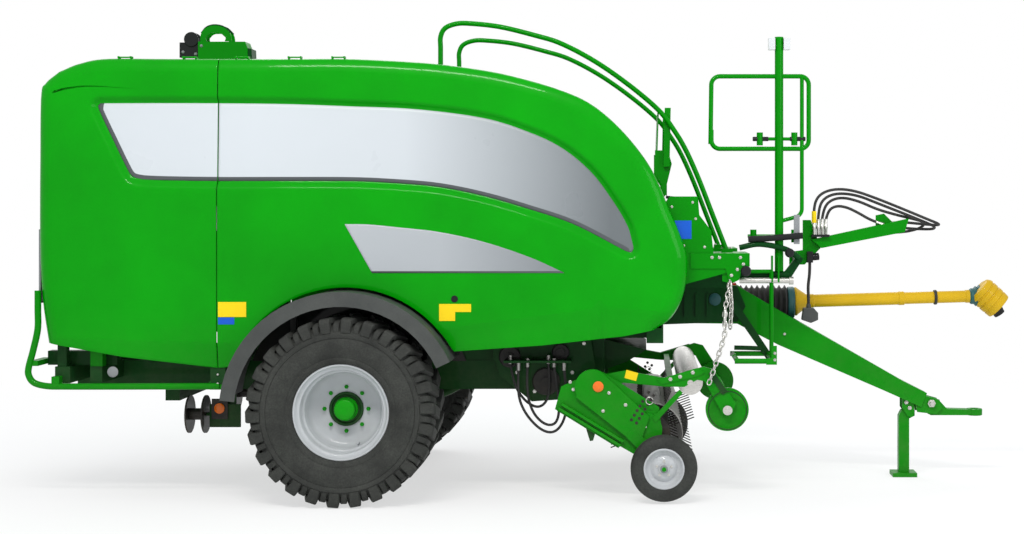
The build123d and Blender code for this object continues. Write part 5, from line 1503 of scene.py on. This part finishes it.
# %% Control housing
control = Bench()
CONTROL = [(2.104, 1.648), (2.440, 1.648), (2.425, 1.800), (2.345, 1.905), (2.335, 2.030), (2.145, 2.030),
           (2.104, 1.960)]
control.add(plate_part(CONTROL, -0.998, -0.988), 0)
control.add(plate_part([(2.104, 1.648), (2.400, 1.648), (2.385, 1.780), (2.310, 1.890), (2.300, 2.000),
                        (2.150, 2.000), (2.104, 1.940)], -0.986, -0.660), 1)
control.add(plate_part(CONTROL, -0.655, -0.645), 0)
control.add(block_part((2.180, 2.292), (-1.0005, -0.998), (1.745, 1.868)), 2)
control.add(tube_part(flat_line([(2.120, 2.026), (2.240, 2.012), (2.330, 1.990)], -0.985, 4), 0.010, 12), 1)
add_bolts(control, ((2.150, 1.690), (2.380, 1.690), (2.320, 1.880), (2.300, 1.990), (2.160, 1.960),
                    (2.240, 1.700)), -0.998, -1, 0.010, 3)
control.piece("control_housing", "chassis", [frame_green, black_paint_and_shade, blue_plate, plated_steel],
              "frame_green", bevel=0.003, replaces=("control_box",))
print("control housing done")

# %% [markdown]
# Hoses and cables are round cords along a smooth spline that a few points lead. A curve object could stay a
# curve, but its own points are read back and a tube is laid along them.

# %% Cords
HOSE_D, CABLE_D, LOOP_D = 0.020, 0.022, 0.018


def spline_points(points):
    """Points of the smooth spline that has the given control points, as the curve itself gives them."""
    data = bpy.data.curves.new("route", "CURVE")
    data.dimensions = "3D"
    data.resolution_u = 10
    line = data.splines.new("NURBS")
    line.points.add(len(points) - 1)
    line.points.foreach_set("co", [c for x, y, z in points for c in (x + AXLE_X, y, z, 1.0)])
    line.order_u = 3
    line.use_endpoint_u = True
    route = bpy.data.objects.new("route", data)
    bare = bpy.data.meshes.new_from_object(route)
    path = np.empty(len(bare.vertices) * 3)
    bare.vertices.foreach_get("co", path)
    bpy.data.meshes.remove(bare)
    bpy.data.objects.remove(route)
    bpy.data.curves.remove(data)
    return path.reshape(-1, 3)


def add_cord(name, points, diameter):
    """A round cord along a smooth spline with the given control points."""
    path = spline_points(points)
    cord = mesh_piece(name, *tube_part(path, diameter / 2, 14), soft_rubber, "chassis")
    cord.data.set_sharp_from_angle(angle=math.radians(50))


print("cords", HOSE_D, CABLE_D, LOOP_D, "m thick")

# %% [markdown]
# The oil hoses come out of short sleeves at the foot of their beam, rise in wide arches, and turn back at
# the beam's end to where their couplings are parked. Each is drawn one by one, since each lies a little
# inside the one before.

# %% Oil hoses
HOSES = [
    [(3.190, -0.258, 1.860), (3.185, -0.258, 1.960), (3.225, -0.258, 2.050), (3.330, -0.258, 2.090),
     (3.470, -0.258, 2.080), (3.640, -0.258, 2.020), (3.850, -0.258, 1.935), (4.010, -0.258, 1.868),
     (4.090, -0.225, 1.838), (4.100, -0.140, 1.828), (4.030, -0.080, 1.832), (3.930, -0.095, 1.842),
     (3.860, -0.150, 1.848), (3.780, -0.158, 1.846)],
    [(3.222, -0.232, 1.860), (3.225, -0.232, 1.950), (3.265, -0.232, 2.026), (3.360, -0.232, 2.060),
     (3.500, -0.232, 2.045), (3.650, -0.232, 1.985), (3.860, -0.232, 1.903), (3.990, -0.230, 1.850),
     (4.064, -0.200, 1.820), (4.070, -0.125, 1.800), (4.000, -0.072, 1.798), (3.890, -0.090, 1.804),
     (3.820, -0.148, 1.812), (3.720, -0.158, 1.814)],
    [(3.252, -0.206, 1.862), (3.262, -0.206, 1.945), (3.310, -0.206, 2.008), (3.400, -0.206, 2.030),
     (3.520, -0.206, 2.000), (3.640, -0.206, 1.945), (3.780, -0.204, 1.904), (3.900, -0.200, 1.876),
     (4.000, -0.165, 1.850), (3.990, -0.090, 1.812), (3.910, -0.050, 1.784), (3.810, -0.075, 1.774),
     (3.730, -0.140, 1.776), (3.640, -0.156, 1.778)],
    [(3.282, -0.180, 1.862), (3.296, -0.180, 1.930), (3.350, -0.180, 1.968), (3.430, -0.180, 1.960),
     (3.520, -0.185, 1.915), (3.590, -0.195, 1.872), (3.650, -0.205, 1.848)],
]
sleeves = Bench()
sleeves.add(block_part((3.172, 3.300), (-0.276, -0.166), (1.745, 1.762)), 0)
for line in HOSES:
    x, y, z = line[0]
    sleeves.add(turned([(0.0, -0.100), (0.012, -0.100), (0.0125, -0.060), (0.0145, -0.056), (0.0145, -0.036),
                        (0.0120, -0.032), (0.0120, 0.012), (0.0, 0.012)], (x, y, z), (0.0, 0.0, 1.0), 20), 1)
    sleeves.add(turned([(0.0, -0.010), (0.0125, -0.010), (0.0130, 0.020), (0.0155, 0.024), (0.0155, 0.046),
                        (0.0125, 0.050), (0.0115, 0.072), (0.0, 0.074)], line[-1],
                       np.subtract(line[-1], line[-2]), 20), 1)
sleeves.add(turned([(0.0, -0.022), (0.0165, -0.022), (0.0170, -0.018), (0.0170, 0.058), (0.0165, 0.062),
                    (0.0, 0.062)], (3.190, -0.258, 1.868), (0.0, 0.0, 1.0), 24), 2)
sleeves.add(block_part((3.690, 3.702), (-0.184, -0.138), (1.758, 1.862)), 3)
sleeves.add(plate_part([(3.640, 1.826), (3.760, 1.852), (3.700, 1.912), (3.640, 1.900)], -0.190, -0.180), 3)
sleeves.piece("hose_sleeves", "chassis", [black_paint_and_shade, plated_steel, yellow_plate, frame_green],
              "dark_steel", bevel=0.001)
for i, line in enumerate(HOSES):
    add_cord("hose_%d" % (i + 1), line, HOSE_D)
print("hoses", len(HOSES))

# %% [markdown]
# A cable hangs below the beam with its socket box on the end. The box is a piece of its own.

# %% Cable
plug = Bench()
plug.add(plate_part([(3.118, 1.236), (3.190, 1.236), (3.222, 1.200), (3.222, 1.150), (3.170, 1.128),
                     (3.105, 1.150)], -0.238, -0.162), 0)
plug.add(turned([(0.0, 0.0), (0.018, 0.0), (0.015, 0.030), (0.0, 0.040)],
                (3.156, -0.200, 1.232), (0, 0, 1), 20), 0)
plug.add(block_part((3.143, 3.187), (-0.225, -0.175), (1.560, 1.640)), 1)
plug.add(turned([(0.0, 0.0), (0.024, 0.0), (0.026, 0.006), (0.026, 0.046), (0.0, 0.050)],
                (3.185, -0.200, 1.600), (1, 0, 0.1), 20), 1)
socket = plug.piece("socket_box", "chassis", [fender_plastic, black_paint_and_shade], "dark_plastic", bevel=0.004)
add_cord("cable", [(3.165, -0.200, 1.562), (3.165, -0.200, 1.480), (3.152, -0.200, 1.395),
                   (3.156, -0.200, 1.310), (3.156, -0.200, 1.250)], CABLE_D)
print("cords done")

# %% [markdown]
# Warning plates are left blank. The front door has a yellow and a blue one at the seam, and a stepped
# yellow one ahead of the wheel with the round latch above it. A flat plate would float over the curved
# door, so each is a small grid that takes its height from the door's face.

# %% Blank plates and latch
PLATE_GRID = 8
LATCH_X, LATCH_Z = 0.723, 1.352


def door_plate(bench, x0, x1, z0, z1, way, kind):
    """A thin plate that lies on the door between two values of x and of z."""
    u, v = np.meshgrid(np.linspace(x0, x1, PLATE_GRID), np.linspace(z0, z1, PLATE_GRID), indexing="ij")
    out = half_width(u.ravel(), v.ravel()).reshape(u.shape)
    front = np.stack([u, way * (out + BAND_LIFT), v], axis=-1).reshape(-1, 3)
    rear = np.stack([u, way * (out + 0.0004), v], axis=-1).reshape(-1, 3)
    count = PLATE_GRID ** 2
    index = np.arange(count).reshape(PLATE_GRID, PLATE_GRID)
    rim = np.concatenate([index[:-1, 0], index[-1, :-1], index[:0:-1, -1], index[0, :0:-1]])
    walls = np.stack([rim, np.roll(rim, -1), np.roll(rim, -1) + count, rim + count], axis=1)
    faces = np.vstack([grid_faces(index), grid_faces(index)[:, ::-1] + count, walls[:, ::-1]])
    bench.add((np.vstack([front, rear]), faces if way < 0 else faces[:, ::-1]), kind)


for side_name, way in (("right", -1), ("left", 1)):
    plates = Bench()
    door_plate(plates, -0.838, -0.652, 1.233, 1.332, way, 0)
    door_plate(plates, -0.838, -0.731, 1.184, 1.230, way, 1)
    door_plate(plates, 0.621, 0.727, 1.207, 1.319, way, 0)
    door_plate(plates, 0.727, 0.832, 1.266, 1.319, way, 0)
    plates.add(turned([(0.0, 0.0), (0.022, 0.0), (0.023, 0.003), (0.019, 0.004), (0.018, 0.001),
                       (0.0, 0.001)],
                      (LATCH_X, way * face_at(LATCH_X, LATCH_Z), LATCH_Z), (0, way, 0), 28), 2)
    plates.piece("door_plates_" + side_name, "front_door_" + side_name,
                 [yellow_plate, blue_plate, black_paint_and_shade], "panel_green")
print("plates done")

# %% [markdown]
# Behind each wheel an orange reflector sits on a dark block, and a grey disc hangs further back. All are
# one short section, turned.

# %% Reflectors
reflector = [(0.0, 0.0), (0.034, 0.0), (0.036, 0.003), (0.036, 0.008), (0.032, 0.011), (0.0, 0.0125)]
rear_marks = Bench()
for way in (-1, 1):
    rear_marks.add(block_part((-1.000, -0.890), (way * 0.712, way * 0.722), (0.500, 0.640)), 1)
    rear_marks.add(turned(reflector, (-0.945, way * 0.722, 0.575), (0, way, 0), 32), 0)
    rear_marks.add(turned(reflector, (-1.560, way * 1.100, 0.862), (0, way, 0), 28), 2)
rear_marks.piece("rear_marks", "chassis", [orange_lens, black_paint_and_shade, grey_paint], "dark_steel")
print("reflectors done")

# %% [markdown]
# The pick-up's side carries a raised housing with a rounded nose, a channel along its lower edge, a strip
# with two rows of holes, bolts and a reflector. Holes could be cut, but dark discs a millimetre proud look
# the same and cost nothing: their black is painted shade for the dark inside of a hole. The arm above and the
# disc that turns on the arm get their fittings on benches of their own, because they move by themselves.

# %% Pick-up side
# the housing's nose and the round foot below it
NOSE = arc(1.630, 0.758, 0.118, math.radians(205), math.radians(62), 14)
HOUSING = NOSE + [(2.010, 0.560), (1.960, 0.420), (1.925, 0.372), (1.520, 0.690)]
TOE = arc(1.975, 0.470, 0.120, math.radians(95), math.radians(-60), 14) + [(1.930, 0.330), (1.900, 0.540)]
STRIP_FROM = np.array([1.900, 0.520])
STRIP_WAY = np.array([0.154, 0.248]) / math.hypot(0.154, 0.248)
STRIP_ACROSS = np.array([STRIP_WAY[1], -STRIP_WAY[0]])
for side_name, way in (("right", -1), ("left", 1)):
    face = way * 1.056
    side = Bench()
    side.add(plate_part(HOUSING, face, way * 1.084), 0)
    side.add(plate_part(TOE, face, way * 1.066), 0)
    side.add(plate_part([(1.392, 0.600), (1.420, 0.640), (1.830, 0.392), (1.802, 0.350)],
                        face, way * 1.074), 0)
    side.add(plate_part([(1.400, 0.612), (1.408, 0.626), (1.822, 0.376), (1.813, 0.362)], way * 1.074,
                        way * 1.100), 0)
    side.add(plate_part([(1.420, 0.640), (1.430, 0.654), (1.840, 0.404), (1.830, 0.390)], way * 1.074,
                        way * 1.100), 0)
    side.add(plate_part([(1.580, 0.500), (1.650, 0.458), (1.634, 0.400), (1.612, 0.396)], way * 1.060,
                        way * 1.068), 3)
    # the holes: black discs, painted shade for the dark inside of each hole
    for row in (-0.020, 0.020):
        for i in range(7):
            x, z = STRIP_FROM + STRIP_WAY * (0.012 + 0.036 * i) + STRIP_ACROSS * row
            side.add(turned(drum(0.0105, 0.0012), (x, way * 1.0845, z), (0, way, 0), 18), 2)
    ring = arc(2.010, 0.668, 0.024, 0.3, 2 * math.pi - 0.3, 16)
    side.add(tube_part(flat_line(ring, way * 1.092, 2), 0.003, 8), 1)
    add_bolts(side, ((1.560, 0.795), (1.500, 0.740), (1.480, 0.790), (1.985, 0.490), (1.640, 0.640)),
              way * 1.0565, way, 0.013, 1)
    add_bolts(side, ((1.740, 0.720), (1.700, 0.600), (1.850, 0.640)), way * 1.084, way, 0.013, 1)
    side.add(turned(reflector, (1.668, way * 1.084, 0.762), (0, way, 0), 32), 4)
    side.piece("pickup_side_" + side_name, "pickup",
               [frame_green, plated_steel, black_paint_and_shade, dark_green_and_shade, orange_lens], "frame_green", bevel=0.002)
    arm = Bench()
    arm.add(plate_part([(1.855, 0.868), (1.935, 0.845), (1.920, 0.792), (1.842, 0.812)], way * 1.015,
                       way * 1.0165), 1)
    arm.add(plate_part([(2.060, 0.800), (2.330, 0.880), (2.380, 0.850), (2.340, 0.826), (2.090, 0.770)],
                       way * 1.015, way * 1.023), 0)
    add_bolts(arm, ((2.150, 0.805), (2.215, 0.822), (2.300, 0.850)), way * 1.023, way, 0.014, 2)
    arm.add(plate_part([(2.405, 0.842), (2.440, 0.855), (2.535, 0.720), (2.500, 0.700)], way * 1.015,
                       way * 1.024), 3)
    arm.piece("arm_fittings_" + side_name, "wind_guard",
              [frame_green, yellow_plate, plated_steel, dark_green_and_shade], "frame_green", bevel=0.001)
    disc = Bench()
    disc.add(turned([(0.0, 0.0), (0.030, 0.0), (0.032, 0.004), (0.032, 0.010), (0.018, 0.012), (0.018, 0.020),
                     (0.0, 0.022)], (2.533, way * 1.025, 0.597), (0, way, 0), 28), 0)
    disc.add(turned([(0.124, -0.002), (0.132, -0.002), (0.132, 0.002), (0.124, 0.002)],
                    (2.533, way * 1.0245, 0.597), (0, way, 0), 64), 1)
    disc.piece("disc_hub_" + side_name, "press_roller", [plated_steel, dark_green_and_shade], "frame_green")
print("pick-up sides done")

# %% [markdown]
# At the very front the tow eye gets its ring and bolts, and the frame behind it gets a few bolts more. The
# solids there already have the right shape, so the fixings are simply set on them.

# %% Tow eye
tow = Bench()
for way in (-1, 1):
    for x, z, r, y in ((4.060, 0.535, 0.030, 0.0870), (3.880, 0.540, 0.016, 0.0640),
                       (3.905, 0.500, 0.016, 0.0640), (2.980, 1.050, 0.010, 0.2480),
                       (2.200, 1.345, 0.012, 0.2735)):
        tow.add(bolt_part((x, way * y, z), (0, way, 0), r), 1)
    tow.add(block_part((4.170, 4.290), (way * 0.0400, way * 0.0415), (0.452, 0.478)), 2)
tow.add(turned([(0.030, -0.024), (0.054, -0.024), (0.058, -0.018), (0.058, 0.018), (0.054, 0.024),
                (0.030, 0.024), (0.026, 0.018), (0.026, -0.018)], (4.385, 0.0, 0.465), (0, 0, 1), 40), 0)
tow.piece("tow_fixings", "chassis", [frame_green, plated_steel, grey_paint], "frame_green", bevel=0.001)
print("tow eye done")

# %% [markdown]
# Under the floor the drive's covers, a liner in each wheel arch and two curved members are dark: they lie in
# the shadow under the body, and their near-black colour is painted shade. They are seen only through gaps, so
# flat plates and turned covers are enough.

# %% Covers under the floor
dark = Bench()
CURVED = [(0.520, 0.640), (0.640, 0.690), (0.760, 0.770), (0.850, 0.860), (0.916, 0.943)]
for way in (-1, 1):
    dark.add(tube_part(flat_line(CURVED, way * 0.500, 6), 0.030, 16), 0)
    dark.add(plate_part([(0.900, 1.090), (1.600, 1.090), (1.640, 0.860), (1.500, 0.640), (1.200, 0.620),
                         (0.980, 0.800)], way * 0.700, way * 0.708), 0)
    for x, z, r in ((1.050, 0.930, 0.075), (1.300, 0.760, 0.095), (1.400, 0.960, 0.060)):
        dark.add(turned([(0.0, 0.0), (r, 0.0), (r, 0.016), (r - 0.008, 0.022), (0.030, 0.022), (0.030, 0.040),
                         (0.0, 0.042)], (x, way * 0.708, z), (0, way, 0), 36), 1)
    add_bolts(dark, ((1.100, 0.820), (1.180, 1.020), (1.480, 0.820), (1.560, 1.020), (1.220, 0.690),
                     (1.420, 0.700)), way * 0.708, way, 0.014, 2)
# liners: black sheets in the wheel arches, painted shade where only the shadow inside the arch is seen
LINER = arc(0.0, HUB_Z, 0.790, math.radians(20), math.radians(160), 40)
for way in (-1, 1):
    dark.add(plate_part(LINER, way * 0.622, way * 0.630), 1)
dark.piece("feeder_drive", "chassis", [dark_green_and_shade, black_paint_and_shade, plated_steel], "frame_green", bevel=0.0015)
print("covers done")

# %% [markdown]
# Three hoses hang in loops beside the covers, from a dark holder whose near-black green is painted shade
# for the shadow under the body. They are cords like the oil hoses, each led by its own points.

# %% Hanging loops
LOOPS = [
    (-0.860, [(1.120, 0.860), (1.110, 0.700), (1.160, 0.560), (1.270, 0.440), (1.370, 0.420), (1.440, 0.520),
              (1.450, 0.680), (1.430, 0.860)]),
    (-0.830, [(1.180, 0.880), (1.170, 0.720), (1.210, 0.560), (1.300, 0.470), (1.380, 0.480), (1.400, 0.600),
              (1.380, 0.740), (1.360, 0.880)]),
    (-0.800, [(1.060, 0.900), (1.080, 0.760), (1.150, 0.640), (1.250, 0.580), (1.320, 0.640), (1.330, 0.780),
              (1.320, 0.900)]),
]
holder = Bench()
holder.add(block_part((1.020, 1.480), (-0.880, -0.700), (0.900, 0.916)), 0)
for y, line in LOOPS:
    for x, z in (line[0], line[-1]):
        holder.add(turned([(0.0, 0.0), (0.014, 0.0), (0.014, 0.060), (0.0, 0.062)], (x, y, z - 0.012),
                          (0, 0, 1), 18), 1)
holder.piece("hose_holder", "chassis", [dark_green_and_shade, worn_steel], "frame_green", bevel=0.0015)
for i, (y, line) in enumerate(LOOPS):
    add_cord("loop_%d" % (i + 1), [(x, y, z) for x, z in line], LOOP_D)
print("loops", len(LOOPS))
